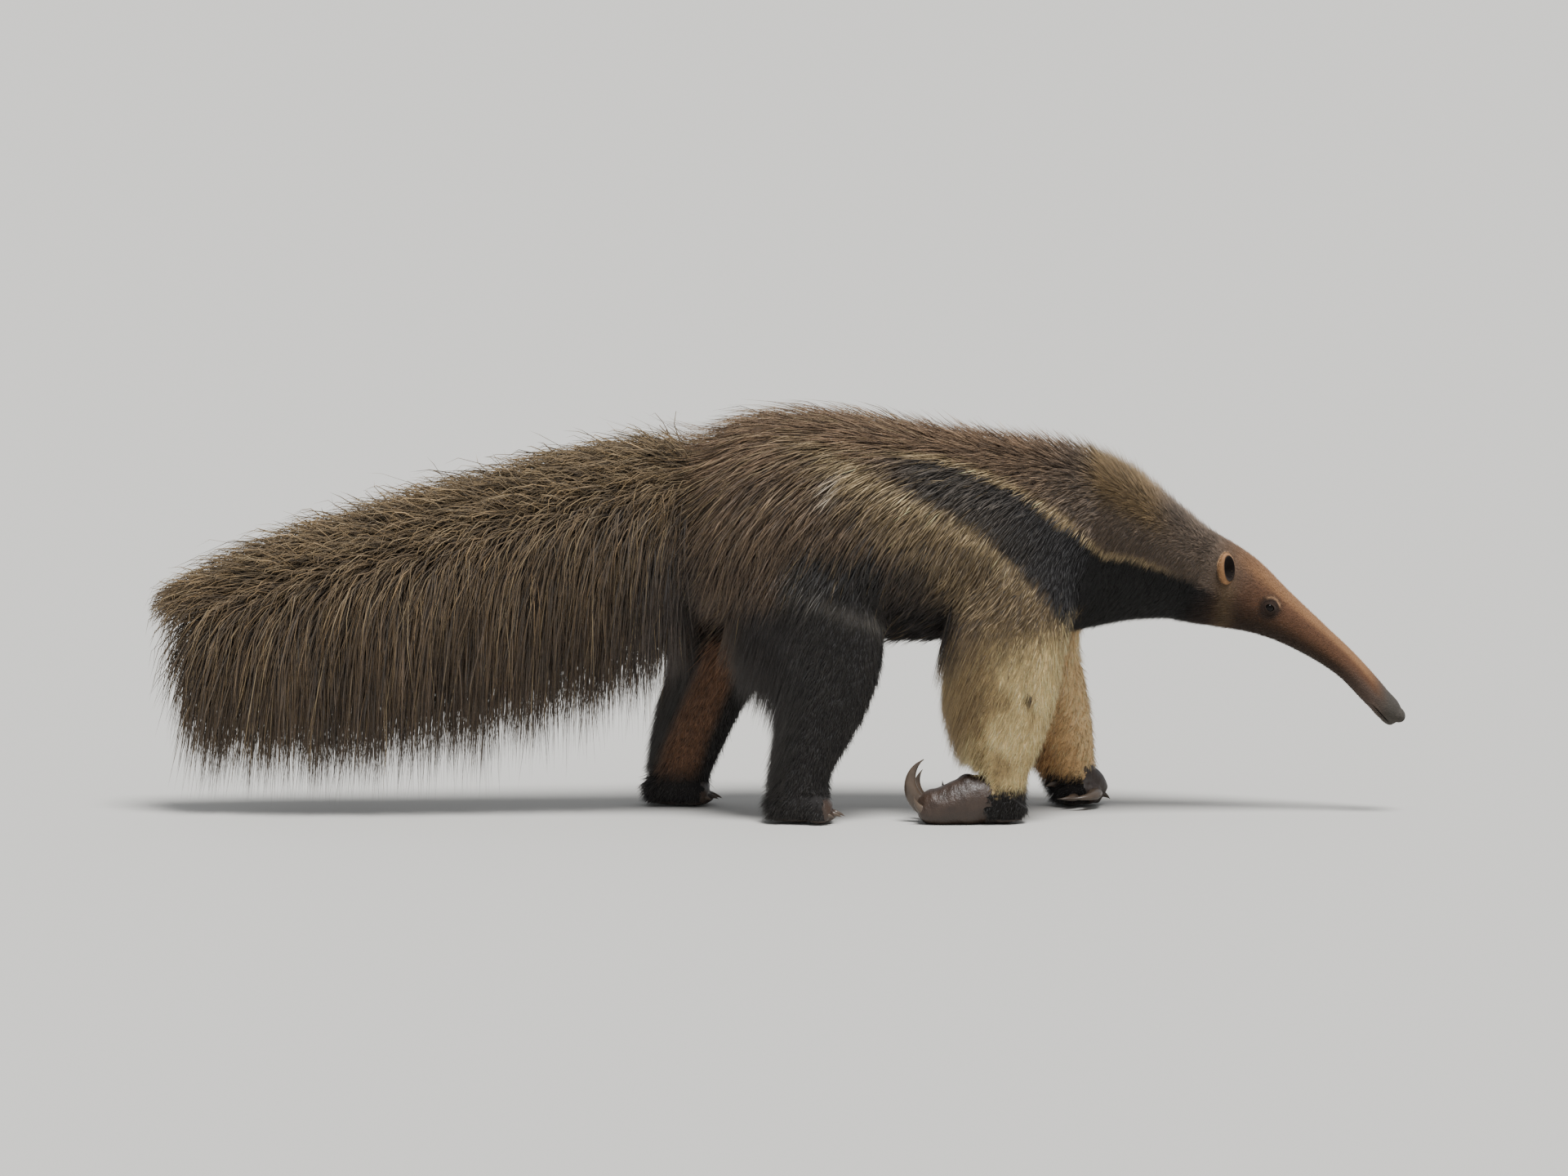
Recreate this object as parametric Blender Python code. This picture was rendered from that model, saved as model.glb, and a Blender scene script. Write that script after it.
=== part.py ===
"""A giant anteater in mid-stride, life size: a still model such as a museum shows.

The animal faces +X, its left side is +Y and its up is +Z. The origin lies on the ground under its middle.
Sizes are in metres.
"""

import math
import random
from collections import namedtuple

import bmesh
import bpy
import numpy as np
from mathutils import Matrix, Vector
from mathutils.bvhtree import BVHTree

# Driving dimensions
GAP = 0.0003
HALF_GAP = GAP / 2
LATERAL = Vector((0, 1, 0))
UPWARD = Vector((0, 0, 1))
RIGHT, LEFT = -1, 1
SIDE_NAMES = {RIGHT: "right", LEFT: "left"}
TOP_NARROWING = 0.16
VOXEL = 0.007
SMOOTHING_ROUNDS = 7
FLESH_TRIANGLES = 2700
HAND_TRIANGLES = 310
FOOT_TRIANGLES = 230
HEAD_TRIANGLES = 860
EYE_RADIUS = 0.0085
EYE_CENTRE = Vector((0.783, 0.0375, 0.3345))
EAR_HEIGHT = 0.052
EAR_WIDTH = 0.034
SUNK = 0.014

Section = namedtuple("Section", "x y z wide up down")

# The trunk from the rump to the nose: half-width, then half-height above and below the middle line.
TRUNK = {
    "rump end": Section(-0.135, 0, 0.485, 0.055, 0.070, 0.075),
    "rump": Section(-0.079, 0, 0.466, 0.100, 0.129, 0.125),
    "hip": Section(-0.014, 0, 0.461, 0.125, 0.157, 0.150),
    "loin": Section(0.077, 0, 0.456, 0.136, 0.168, 0.160),
    "belly": Section(0.181, 0, 0.447, 0.142, 0.166, 0.163),
    "ribs": Section(0.298, 0, 0.442, 0.140, 0.157, 0.158),
    "chest": Section(0.415, 0, 0.439, 0.130, 0.146, 0.148),
    "neck base": Section(0.519, 0, 0.427, 0.105, 0.130, 0.130),
    "neck": Section(0.598, 0, 0.407, 0.078, 0.098, 0.099),
    "nape": Section(0.679, 0, 0.379, 0.061, 0.073, 0.073),
    "ears": Section(0.733, 0, 0.356, 0.053, 0.062, 0.061),
    "eyes": Section(0.792, 0, 0.323, 0.042, 0.043, 0.042),
    "muzzle": Section(0.850, 0, 0.284, 0.031, 0.031, 0.030),
    "snout": Section(0.906, 0, 0.241, 0.0245, 0.0235, 0.0235),
    "lower snout": Section(0.958, 0, 0.186, 0.021, 0.0215, 0.0215),
    "nose": Section(0.981, 0, 0.161, 0.0185, 0.0195, 0.0190),
    "nose end": Section(0.9905, 0, 0.151, 0.0115, 0.0125, 0.0115),
}

# The tail's core, which reaches at most half way to the tips of its hair.
TAIL = {
    "inside rump": Section(-0.060, 0, 0.500, 0.055, 0.070, 0.070),
    "root": Section(-0.170, 0, 0.478, 0.058, 0.078, 0.092),
    "upper": Section(-0.326, 0, 0.440, 0.050, 0.068, 0.086),
    "middle": Section(-0.482, 0, 0.400, 0.046, 0.062, 0.082),
    "lower": Section(-0.638, 0, 0.362, 0.042, 0.056, 0.074),
    "end": Section(-0.794, 0, 0.325, 0.034, 0.046, 0.058),
    "tip": Section(-0.875, 0, 0.312, 0.022, 0.030, 0.036),
    "tip end": Section(-0.905, 0, 0.306, 0.010, 0.013, 0.013),
}

# The tail's outline at the tips of its hair: places along the tail, lowest and highest tips.
TAIL_X = (-1.000, -0.965, -0.925, -0.870, -0.660, -0.550, -0.400, -0.300, -0.170, -0.100)
TAIL_LOW = (0.215, 0.120, 0.055, 0.048, 0.050, 0.070, 0.116, 0.150, 0.222, 0.260)
TAIL_HIGH = (0.300, 0.348, 0.390, 0.410, 0.487, 0.513, 0.557, 0.579, 0.615, 0.625)

# The legs from the trunk to the ground: half-width, then half-length in front and behind.
FORELEG_RIGHT = {
    "shoulder": Section(0.412, -0.070, 0.470, 0.048, 0.075, 0.075),
    "upper arm": Section(0.384, -0.092, 0.370, 0.054, 0.094, 0.094),
    "elbow": Section(0.365, -0.108, 0.283, 0.058, 0.092, 0.090),
    "forearm": Section(0.360, -0.113, 0.204, 0.054, 0.084, 0.080),
    "lower forearm": Section(0.356, -0.115, 0.130, 0.045, 0.066, 0.056),
    "wrist": Section(0.356, -0.115, 0.072, 0.034, 0.043, 0.038),
    "heel of hand": Section(0.360, -0.115, 0.022, 0.032, 0.036, 0.034),
    "ground": Section(0.361, -0.115, -0.006, 0.029, 0.031, 0.030),
}
FORELEG_LEFT = {
    "shoulder": Section(0.428, 0.070, 0.460, 0.048, 0.070, 0.070),
    "upper arm": Section(0.421, 0.090, 0.355, 0.053, 0.078, 0.084),
    "elbow": Section(0.412, 0.104, 0.260, 0.056, 0.074, 0.078),
    "forearm": Section(0.436, 0.107, 0.181, 0.050, 0.064, 0.066),
    "lower forearm": Section(0.460, 0.108, 0.105, 0.042, 0.053, 0.055),
    "wrist": Section(0.473, 0.108, 0.060, 0.034, 0.042, 0.045),
    "heel of hand": Section(0.484, 0.108, 0.022, 0.032, 0.038, 0.038),
    "ground": Section(0.486, 0.108, -0.006, 0.028, 0.034, 0.034),
}
HINDLEG_RIGHT = {
    "hip": Section(0.020, -0.066, 0.470, 0.045, 0.085, 0.085),
    "thigh": Section(0.044, -0.090, 0.372, 0.056, 0.096, 0.098),
    "knee": Section(0.084, -0.104, 0.284, 0.054, 0.088, 0.086),
    "shank": Section(0.078, -0.108, 0.204, 0.046, 0.073, 0.062),
    "lower shank": Section(0.057, -0.110, 0.132, 0.040, 0.056, 0.054),
    "ankle": Section(0.042, -0.110, 0.073, 0.036, 0.044, 0.048),
    "heel": Section(0.040, -0.110, 0.030, 0.035, 0.046, 0.050),
    "ground": Section(0.040, -0.110, -0.006, 0.030, 0.040, 0.044),
}
HINDLEG_LEFT = {
    "hip": Section(-0.018, 0.064, 0.460, 0.045, 0.085, 0.085),
    "thigh": Section(-0.040, 0.088, 0.362, 0.055, 0.090, 0.094),
    "knee": Section(-0.074, 0.102, 0.258, 0.052, 0.072, 0.080),
    "shank": Section(-0.114, 0.106, 0.170, 0.044, 0.060, 0.066),
    "lower shank": Section(-0.142, 0.108, 0.100, 0.039, 0.056, 0.054),
    "ankle": Section(-0.154, 0.108, 0.055, 0.036, 0.050, 0.048),
    "heel": Section(-0.156, 0.108, 0.022, 0.035, 0.048, 0.048),
    "ground": Section(-0.156, 0.108, -0.006, 0.030, 0.042, 0.042),
}
LEGS = {
    ("foreleg", RIGHT): FORELEG_RIGHT,
    ("foreleg", LEFT): FORELEG_LEFT,
    ("hindleg", RIGHT): HINDLEG_RIGHT,
    ("hindleg", LEFT): HINDLEG_LEFT,
}

# Where each leg parts from the trunk: an arch on the flank, seen from the side, and how far the space of the
# lower leg trails behind it
Arch = namedtuple("Arch", "x z radius inner trail")
ARCHES = {
    ("foreleg", RIGHT): Arch(0.378, 0.372, 0.108, 0.066, 0.018),
    ("foreleg", LEFT): Arch(0.424, 0.362, 0.104, 0.066, 0.0),
    ("hindleg", RIGHT): Arch(0.052, 0.372, 0.118, 0.062, 0.0),
    ("hindleg", LEFT): Arch(-0.060, 0.345, 0.112, 0.062, 0.055),
}
GROIN_HEIGHT = 0.272
LEG_INNER = 0.010
FOOT_TOP = {"foreleg": 0.070, "hindleg": 0.058}

# Parting planes across the body: a point and the direction towards the head.
HEAD_CUT = (Vector((0.676, 0, 0.380)), Vector((0.90, 0, -0.43)))
NECK_CUT = (Vector((0.500, 0, 0.430)), Vector((0.97, 0, -0.24)))
TAIL_CUT = (Vector((-0.130, 0, 0.480)), Vector((1.0, 0, -0.08)))

# Rings of a lock: their places as shares of its length, and their widths as shares of its full width
LONG_LOCK = ((0.0, 0.72), (0.28, 1.0), (0.58, 0.92), (0.84, 0.56))
SHORT_LOCK = ((0.0, 0.78), (0.36, 1.0), (0.74, 0.60))
LOCK_WIDTH = {"mane": 0.054, "tail": 0.072, "crest": 0.060, "leg": 0.040}
LOCK_THICKNESS = 0.008
DRAWN_IN = (1.0, 0.85, 0.7, 0.55, 0.42)
CLEARANCE = 0.004
SPACE_MARGIN = 0.004
TAIL_OVER_GROUND = 0.030
FUSED_SHARE = 0.85

COLOURS = {
    "coat_grizzled": ("4d4136", 0.85),
    "coat_neck": ("3f352e", 0.85),
    "coat_face": ("77603f", 0.75),
    "coat_foreleg": ("b7a07a", 0.85),
    "coat_hindleg": ("2c2725", 0.85),
    "coat_tail": ("463a31", 0.85),
    "skin_foot": ("3a2c24", 0.6),
    "horn_claw": ("3b3028", 0.35),
    "eye": ("0d0a09", 0.08),
}


def clear_scene():
    for item in list(bpy.data.objects):
        bpy.data.objects.remove(item)


def material(name):
    """A Principled material from a colour's hex value, turned from sRGB to linear."""
    found = bpy.data.materials.get(name)
    if found:
        return found
    code, roughness = COLOURS[name]
    channels = [int(code[i : i + 2], 16) / 255 for i in (0, 2, 4)]
    linear = [c / 12.92 if c < 0.04045 else ((c + 0.055) / 1.055) ** 2.4 for c in channels]
    made = bpy.data.materials.new(name)
    made.use_nodes = True
    shader = made.node_tree.nodes["Principled BSDF"]
    shader.inputs["Base Color"].default_value = (*linear, 1)
    shader.inputs["Roughness"].default_value = roughness
    shader.inputs["Metallic"].default_value = 0
    return made


def new_object(name, mesh):
    made = bpy.data.objects.new(name, mesh)
    bpy.context.scene.collection.objects.link(made)
    return made


def mesh_from(name, points, faces):
    """A closed mesh whose faces point out."""
    mesh = bpy.data.meshes.new(name)
    mesh.from_pydata([tuple(p) for p in points], [], faces)
    shape = bmesh.new()
    shape.from_mesh(mesh)
    bmesh.ops.recalc_face_normals(shape, faces=shape.faces)
    shape.to_mesh(mesh)
    shape.free()
    return new_object(name, mesh)


def remove(item):
    mesh = item.data
    bpy.data.objects.remove(item)
    bpy.data.meshes.remove(mesh)


def apply_modifiers(body):
    graph = bpy.context.evaluated_depsgraph_get()
    mesh = bpy.data.meshes.new_from_object(body.evaluated_get(graph))
    spent = body.data
    body.modifiers.clear()
    body.data = mesh
    bpy.data.meshes.remove(spent)


def boolean(body, operation, pieces, solver="EXACT"):
    """Joins closed pieces to a body, or cuts it by them, and removes the pieces."""
    group = bpy.data.collections.new("pieces")
    bpy.context.scene.collection.children.link(group)
    for piece in pieces:
        group.objects.link(piece)
    modifier = body.modifiers.new(operation, "BOOLEAN")
    modifier.operation = operation
    modifier.solver = solver
    modifier.operand_type = "COLLECTION"
    modifier.collection = group
    apply_modifiers(body)
    for piece in pieces:
        remove(piece)
    bpy.data.collections.remove(group)


def thin(body, triangles):
    """Collapses edges until a body has about so many triangles."""
    body.data.calc_loop_triangles()
    modifier = body.modifiers.new("thin", "DECIMATE")
    modifier.ratio = min(1.0, triangles / len(body.data.loop_triangles))
    apply_modifiers(body)


def duplicate(body, name):
    return new_object(name, body.data.copy())


def keep_largest(body):
    """Keeps the largest closed surface, so a sealed hollow is filled and a loose scrap goes."""
    shape = bmesh.new()
    shape.from_mesh(body.data)
    bmesh.ops.remove_doubles(shape, verts=shape.verts, dist=1e-7)
    left = set(shape.faces)
    surfaces = []
    while left:
        start = left.pop()
        surface, edge = {start}, [start]
        while edge:
            face = edge.pop()
            for side in face.edges:
                for neighbour in side.link_faces:
                    if neighbour in left:
                        left.discard(neighbour)
                        surface.add(neighbour)
                        edge.append(neighbour)
        surfaces.append(surface)
    surfaces.sort(key=lambda faces: sum(f.calc_area() for f in faces))
    spare = [face for surface in surfaces[:-1] for face in surface]
    bmesh.ops.delete(shape, geom=spare, context="FACES")
    loose = [edge for edge in shape.edges if not edge.link_faces]
    bmesh.ops.delete(shape, geom=loose, context="EDGES")
    bmesh.ops.dissolve_degenerate(shape, edges=shape.edges, dist=1e-6)
    shape.to_mesh(body.data)
    shape.free()


def smooth_rows(sections, count):
    """Rows of section sizes, spaced along a Catmull-Rom curve through the named sections."""
    rows = np.array([list(s) for s in sections], float)
    steps = np.linalg.norm(np.diff(rows[:, :3], axis=0), axis=1)
    along = np.concatenate([[0], np.cumsum(steps)])
    slopes = np.gradient(rows, along, axis=0)
    places = np.linspace(0, along[-1], count)
    index = np.clip(np.searchsorted(along, places, side="right") - 1, 0, len(steps) - 1)
    span = steps[index][:, None]
    t = ((places - along[index])[:, None]) / span
    start, end = rows[index], rows[index + 1]
    m0, m1 = slopes[index] * span, slopes[index + 1] * span
    return (
        (2 * t**3 - 3 * t**2 + 1) * start
        + (t**3 - 2 * t**2 + t) * m0
        + (3 * t**2 - 2 * t**3) * end
        + (t**3 - t**2) * m1
    )


def loft(name, sections, rings, sides, narrowing=0.0, grow=0.0, lateral=LATERAL):
    """A closed tube through oval sections, whose ovals stand square to the path."""
    rows = smooth_rows(sections, rings)
    centres = [Vector(row[:3]) for row in rows]
    points, faces = [], []
    for i, row in enumerate(rows):
        wide, above, below = (size + grow for size in row[3:])
        ahead = centres[min(i + 1, rings - 1)] - centres[max(i - 1, 0)]
        across = ahead.cross(lateral).normalized()
        beside = across.cross(ahead).normalized()
        for k in range(sides):
            angle = 2 * math.pi * k / sides
            rise = math.sin(angle)
            reach = wide * (1 - narrowing * max(0.0, rise) ** 2)
            height = above if rise > 0 else below
            points.append(centres[i] + beside * reach * math.cos(angle) + across * height * rise)
    for i in range(rings - 1):
        for k in range(sides):
            a, b = i * sides + k, i * sides + (k + 1) % sides
            faces += [(a, b, b + sides), (a, b + sides, a + sides)]
    last = (rings - 1) * sides
    faces += [(0, k + 1, k) for k in range(1, sides - 1)]
    faces += [(last, last + k, last + k + 1) for k in range(1, sides - 1)]
    return mesh_from(name, points, faces)


def ball(name, centre, radii, turn=None, around=10):
    """A rounded ellipsoid, turned about its own centre, with so many flats around its Z axis."""
    mesh = bpy.data.meshes.new(name)
    shape = bmesh.new()
    place = Matrix.Translation(centre) @ (turn or Matrix.Identity(4)) @ Matrix.Diagonal((*radii, 1))
    bmesh.ops.create_uvsphere(shape, u_segments=around, v_segments=around // 2 + 1, radius=1, matrix=place)
    shape.to_mesh(mesh)
    shape.free()
    return new_object(name, mesh)


def block(name, low, high):
    corners = [(x, y, z) for x in (low[0], high[0]) for y in (low[1], high[1]) for z in (low[2], high[2])]
    sides = [(0, 1, 3, 2), (4, 6, 7, 5), (0, 4, 5, 1), (2, 3, 7, 6), (0, 2, 6, 4), (1, 5, 7, 3)]
    return mesh_from(name, corners, sides)


def beyond(name, point, direction, margin):
    """A great block that fills all that lies further than a margin past a plane."""
    made = block(name, (0, -2, -2), (4, 2, 2))
    turn = direction.to_track_quat("X", "Z").to_matrix().to_4x4()
    made.data.transform(Matrix.Translation(point + direction.normalized() * margin) @ turn)
    return made


def behind(name, point, direction, margin):
    return beyond(name, point, -direction, margin)


def leg_cell(name, key, margin):
    """The space of one leg: an arch on the flank, widened inwards below the groin. Margin makes it larger."""
    arch, side = ARCHES[key], key[1]
    radius = arch.radius + margin
    steps = 12
    outline = [(arch.x + radius * math.cos(math.pi * k / steps), arch.z + radius * math.sin(math.pi * k / steps))
               for k in range(steps + 1)]
    outline += [(arch.x - radius, -0.2), (arch.x + radius, -0.2)]
    near, far = (arch.inner - margin) * side, 0.5 * side
    count = len(outline)
    points = [Vector((x, y, z)) for y in (near, far) for x, z in outline]
    faces = [tuple(range(count)), tuple(range(count, 2 * count))]
    faces += [(k, (k + 1) % count, (k + 1) % count + count, k + count) for k in range(count)]
    upper = mesh_from(name, points, faces)
    inner = sorted(((LEG_INNER - margin) * side, far))
    groin = GROIN_HEIGHT + margin
    rear = arch.x - radius - arch.trail
    lower = block(name + "_lower", (rear, inner[0], -0.2), (arch.x + radius, inner[1], groin))
    boolean(upper, "UNION", [lower])
    return upper


def leg_cells():
    return [leg_cell("cell", key, HALF_GAP) for key in ARCHES]


def in_leg_cell(point, key, margin):
    arch = ARCHES[key]
    outward = point.y * key[1]
    low = point.z < GROIN_HEIGHT + margin
    if outward < (LEG_INNER if low else arch.inner) - margin:
        return False
    across, rise = point.x - arch.x, max(0.0, point.z - arch.z)
    trail = arch.trail if low and across < 0 else 0.0
    return math.hypot(across, rise) < arch.radius + trail + margin


def ahead_of(point, cut, margin=0.0):
    return (point - cut[0]).dot(cut[1].normalized()) > margin


def whole_flesh():
    """Trunk, tail core and legs merged into one smooth skin."""
    pieces = [
        loft("trunk", TRUNK.values(), 60, 28, TOP_NARROWING),
        loft("tail_core", TAIL.values(), 34, 20),
    ]
    pieces += [loft("leg", sections.values(), 22, 18) for sections in LEGS.values()]
    shape = bmesh.new()
    for piece in pieces:
        shape.from_mesh(piece.data)
        remove(piece)
    mesh = bpy.data.meshes.new("flesh")
    shape.to_mesh(mesh)
    shape.free()
    flesh = new_object("flesh", mesh)
    merge = flesh.modifiers.new("merge", "REMESH")
    merge.mode = "VOXEL"
    merge.voxel_size = VOXEL
    relax = flesh.modifiers.new("relax", "SMOOTH")
    relax.iterations = SMOOTHING_ROUNDS
    apply_modifiers(flesh)
    thin(flesh, FLESH_TRIANGLES)
    return flesh


def tree_of(body):
    shape = bmesh.new()
    shape.from_mesh(body.data)
    tree = BVHTree.FromBMesh(shape)
    shape.free()
    return tree


def finish(body, name, slot, smooth_angle=60):
    keep_largest(body)
    body.name = name
    body.data.name = name
    body.data.materials.clear()
    body.data.materials.append(material(slot))
    body.data.shade_smooth()
    body.data.set_sharp_from_angle(angle=math.radians(smooth_angle))
    return body


def bezier(start, middle, end, t):
    return start * (1 - t) ** 2 + middle * 2 * t * (1 - t) + end * t**2


def lock_mesh(path, facing, width, rings):
    """One flat, tapered lock along a path, whose broad outer face looks in the direction given at each ring."""
    points, faces = [], []
    count = len(path)
    for i in range(count - 1):
        ahead = (path[min(i + 1, count - 1)] - path[max(i - 1, 0)]).normalized()
        beside = ahead.cross(facing[i]).normalized()
        outward = beside.cross(ahead).normalized()
        share = rings[i][1]
        half = beside * width * share / 2
        points += [path[i] - half, path[i] + half, path[i] + outward * LOCK_THICKNESS * share]
    points.append(path[-1])
    for i in range(count - 2):
        for k in range(3):
            a, b = 3 * i + k, 3 * i + (k + 1) % 3
            faces += [(a, b, b + 3), (a, b + 3, a + 3)]
    tip, base = 3 * (count - 1), 3 * (count - 2)
    faces += [(base + k, base + (k + 1) % 3, tip) for k in range(3)]
    faces.append((2, 1, 0))
    return mesh_from("lock", points, faces)


class Coat:
    """Plants locks on the skin of one node and keeps them inside that node's own space."""

    def __init__(self, skin, is_free, seed):
        self.skin = skin
        self.is_free = is_free
        self.chance = random.Random(seed)
        self.locks = []

    def root(self, middle, direction):
        """The place and the outward direction of the skin, seen from a point inside it."""
        spot, normal, _, _ = self.skin.ray_cast(middle + direction * 0.6, -direction)
        return spot, normal

    def laid_path(self, spot, normal, bend, tip, lift, rings):
        """A path from under the skin to the tip, and the way out at each ring.

        It is pushed out of the skin where it would sink in, further the nearer it comes to its middle.
        """
        path, facing = [spot - normal * SUNK], [normal]
        for share, _ in rings[1:]:
            point = bezier(spot, bend, tip, share)
            base, outward, _, _ = self.skin.find_nearest(point)
            height = (point - base).dot(outward)
            need = CLEARANCE + lift * min(1.0, share / rings[1][0])
            if height < need:
                point = base + outward * need
            path.append(point)
            facing.append(outward)
        path.append(tip)
        return path, facing

    def plant(self, spot, normal, bend, tip, width, lift=0.0, facing=None, rings=SHORT_LOCK):
        """Adds a lock, drawn in towards its root until it stays in its own space."""
        for share in DRAWN_IN:
            end = spot.lerp(tip, share)
            path, outward = self.laid_path(spot, normal, spot.lerp(bend, share), end, lift, rings)
            if all(self.is_free(point) for point in path):
                if facing:
                    outward = [facing(point) for point in path]
                self.locks.append(lock_mesh(path, outward, width, rings))
                return

    def lie(self, spot, normal, heading, length, height, width, lift=0.0, facing=None):
        """Plants a lock that leans off the skin, so that its tip stands at a height over it."""
        base, outward, _, _ = self.skin.find_nearest(spot + heading * length)
        tip = base + outward * height
        bend = spot.lerp(tip, 0.45) + normal * height * 0.30
        self.plant(spot, normal, bend, tip, width, lift, facing)


def fuse(body, coat, cutters, bounds=()):
    """Unites a node with its locks, cuts it clear of its neighbours, then collapses slivers at the crossings.

    The exact solver fails here: it leaves edges with four faces where many locks cross.
    """
    for operation, pieces in (("UNION", coat.locks), ("DIFFERENCE", cutters), ("INTERSECT", bounds)):
        if pieces:
            boolean(body, operation, pieces, "MANIFOLD")
    keep_largest(body)
    body.data.calc_loop_triangles()
    thin(body, FUSED_SHARE * len(body.data.loop_triangles))


def parted(body, cutters, solver="EXACT"):
    boolean(body, "DIFFERENCE", cutters, solver)
    return body


def space_of_torso(point):
    if ahead_of(point, NECK_CUT, -SPACE_MARGIN) or not ahead_of(point, TAIL_CUT, SPACE_MARGIN):
        return False
    return not any(in_leg_cell(point, key, 1.5 * SPACE_MARGIN) for key in ARCHES)


def middle_of_trunk(x):
    sections = list(TRUNK.values())
    return Vector((x, 0, np.interp(x, [s.x for s in sections], [s.z for s in sections])))


def torso(flesh, skin):
    """The barrel with the mane along its back and the long hair over the rump."""
    body = duplicate(flesh, "torso")
    parted(body, [beyond("ahead", *NECK_CUT, -HALF_GAP), behind("astern", *TAIL_CUT, -HALF_GAP)])
    parted(body, leg_cells())
    keep_largest(body)
    ends = [beyond("ahead", *NECK_CUT, -HALF_GAP), behind("astern", *TAIL_CUT, -HALF_GAP)]
    fuse(body, torso_coat(skin), ends + leg_cells())
    return finish(body, "torso", "coat_grizzled")


# Rows of the mane: degrees from the ridge, locks on each side, height at the tips, lift, drop in the heading
Row = namedtuple("Row", "lean count height lift drop")
MANE_ROWS = (Row(58, 7, 0.016, 0.000, 0.50), Row(33, 8, 0.026, 0.004, 0.26), Row(10, 10, 0.036, 0.010, 0.02))
# Along the back: the length of the mane's locks, and their height as a share of the row's
MANE_X = (-0.10, 0.10, 0.30, 0.42, 0.52)
MANE_LENGTH = (0.145, 0.155, 0.135, 0.100, 0.075)
MANE_SCALE = (1.30, 1.20, 1.05, 0.97, 0.90)
# The long hair of the rump: degrees from the ridge and places along the body
RUMP_FRINGE = ((80, (0.02, -0.04, -0.09)), (104, (-0.066, -0.105)))
RUMP_LENGTH = 0.150
BELLY_FRINGE_X = (0.275, 0.215)


def torso_coat(skin):
    """The mane in overlapping rows, the long hair of the rump, and the belly's."""
    coat = Coat(skin, space_of_torso, 11)
    chance = coat.chance
    for number, row in enumerate(MANE_ROWS):
        for side in (RIGHT, LEFT):
            start = 0.475 + 0.022 * number - (0.020 if side == LEFT else 0)
            for k, x in enumerate(np.linspace(start, -0.088, row.count)):
                length = np.interp(x, MANE_X, MANE_LENGTH) * chance.uniform(0.92, 1.1)
                height = row.height * np.interp(x, MANE_X, MANE_SCALE) * chance.uniform(0.9, 1.1)
                angle = math.radians(row.lean + chance.uniform(-4, 4)) * side
                outward = Vector((0, math.sin(angle), math.cos(angle)))
                spot, normal = coat.root(middle_of_trunk(x + chance.uniform(-0.008, 0.008)), outward)
                heading = Vector((-1, 0.30 * math.sin(angle), -row.drop)).normalized()
                lift = row.lift + 0.003 * (k % 2)
                facing = out_of_ridge if row is MANE_ROWS[-1] else None
                coat.lie(spot, normal, heading, length, height, LOCK_WIDTH["mane"], lift, facing)
    for side in (RIGHT, LEFT):
        spot, normal = coat.root(middle_of_trunk(-0.062), Vector((0, 0.12 * side, 1)))
        heading = Vector((-1, 0, 0.12)).normalized()
        coat.lie(spot, normal, heading, 0.060, 0.024, LOCK_WIDTH["mane"], 0.0, out_of_ridge)
        for lean, places in RUMP_FRINGE:
            for k, x in enumerate(places):
                angle = math.radians(lean + chance.uniform(-5, 5)) * side
                outward = Vector((0, math.sin(angle), math.cos(angle)))
                spot, normal = coat.root(middle_of_trunk(x), outward)
                heading = Vector((-0.42, 0.05 * side, -0.90)).normalized()
                tip = spot + heading * RUMP_LENGTH * chance.uniform(0.9, 1.1) + normal * 0.016
                bend = spot.lerp(tip, 0.5) + normal * 0.014
                coat.plant(spot, normal, bend, tip, LOCK_WIDTH["mane"], 0.004 * (k % 2))
        for x in BELLY_FRINGE_X:
            spot, normal = coat.root(middle_of_trunk(x), Vector((0, side * 0.30, -0.95)))
            tip = spot + Vector((-0.060, 0, -0.026))
            coat.plant(spot, normal, spot.lerp(tip, 0.5) + normal * 0.008, tip, LOCK_WIDTH["leg"])
    return coat


def space_of_neck(point):
    return ahead_of(point, NECK_CUT, SPACE_MARGIN) and not ahead_of(point, HEAD_CUT, -SPACE_MARGIN)


def neck(flesh, skin):
    """The neck with the front end of the mane along its nape."""
    body = duplicate(flesh, "neck")
    parted(body, [beyond("ahead", *HEAD_CUT, -HALF_GAP), behind("astern", *NECK_CUT, -HALF_GAP)])
    parted(body, leg_cells())
    keep_largest(body)
    coat = Coat(skin, space_of_neck, 12)
    for k, x in enumerate((0.655, 0.628, 0.600)):
        for lean in (-26, 14) if k % 2 else (-14, 26):
            angle = math.radians(lean + coat.chance.uniform(-5, 5))
            outward = Vector((0.3, math.sin(angle), math.cos(angle))).normalized()
            spot, normal = coat.root(middle_of_trunk(x), outward)
            height = np.interp(x, (0.60, 0.65), (0.034, 0.012)) * (1.0 if abs(lean) < 20 else 0.6)
            heading = Vector((-0.93, math.sin(angle) * 0.25, 0.30)).normalized()
            coat.lie(spot, normal, heading, 0.066, height, LOCK_WIDTH["mane"], 0.003 * (abs(lean) < 20))
    fuse(body, coat, [beyond("ahead", *HEAD_CUT, -HALF_GAP), behind("astern", *NECK_CUT, -HALF_GAP)])
    return finish(body, "neck", "coat_neck")


def middle_of_tail(x):
    sections = list(TAIL.values())[::-1]
    return Vector((x, 0, np.interp(x, [s.x for s in sections], [s.z for s in sections])))


def space_of_tail(point):
    if ahead_of(point, TAIL_CUT, -SPACE_MARGIN) or point.z < TAIL_OVER_GROUND:
        return False
    return not any(in_leg_cell(point, key, 2 * SPACE_MARGIN) for key in ARCHES)


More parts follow.
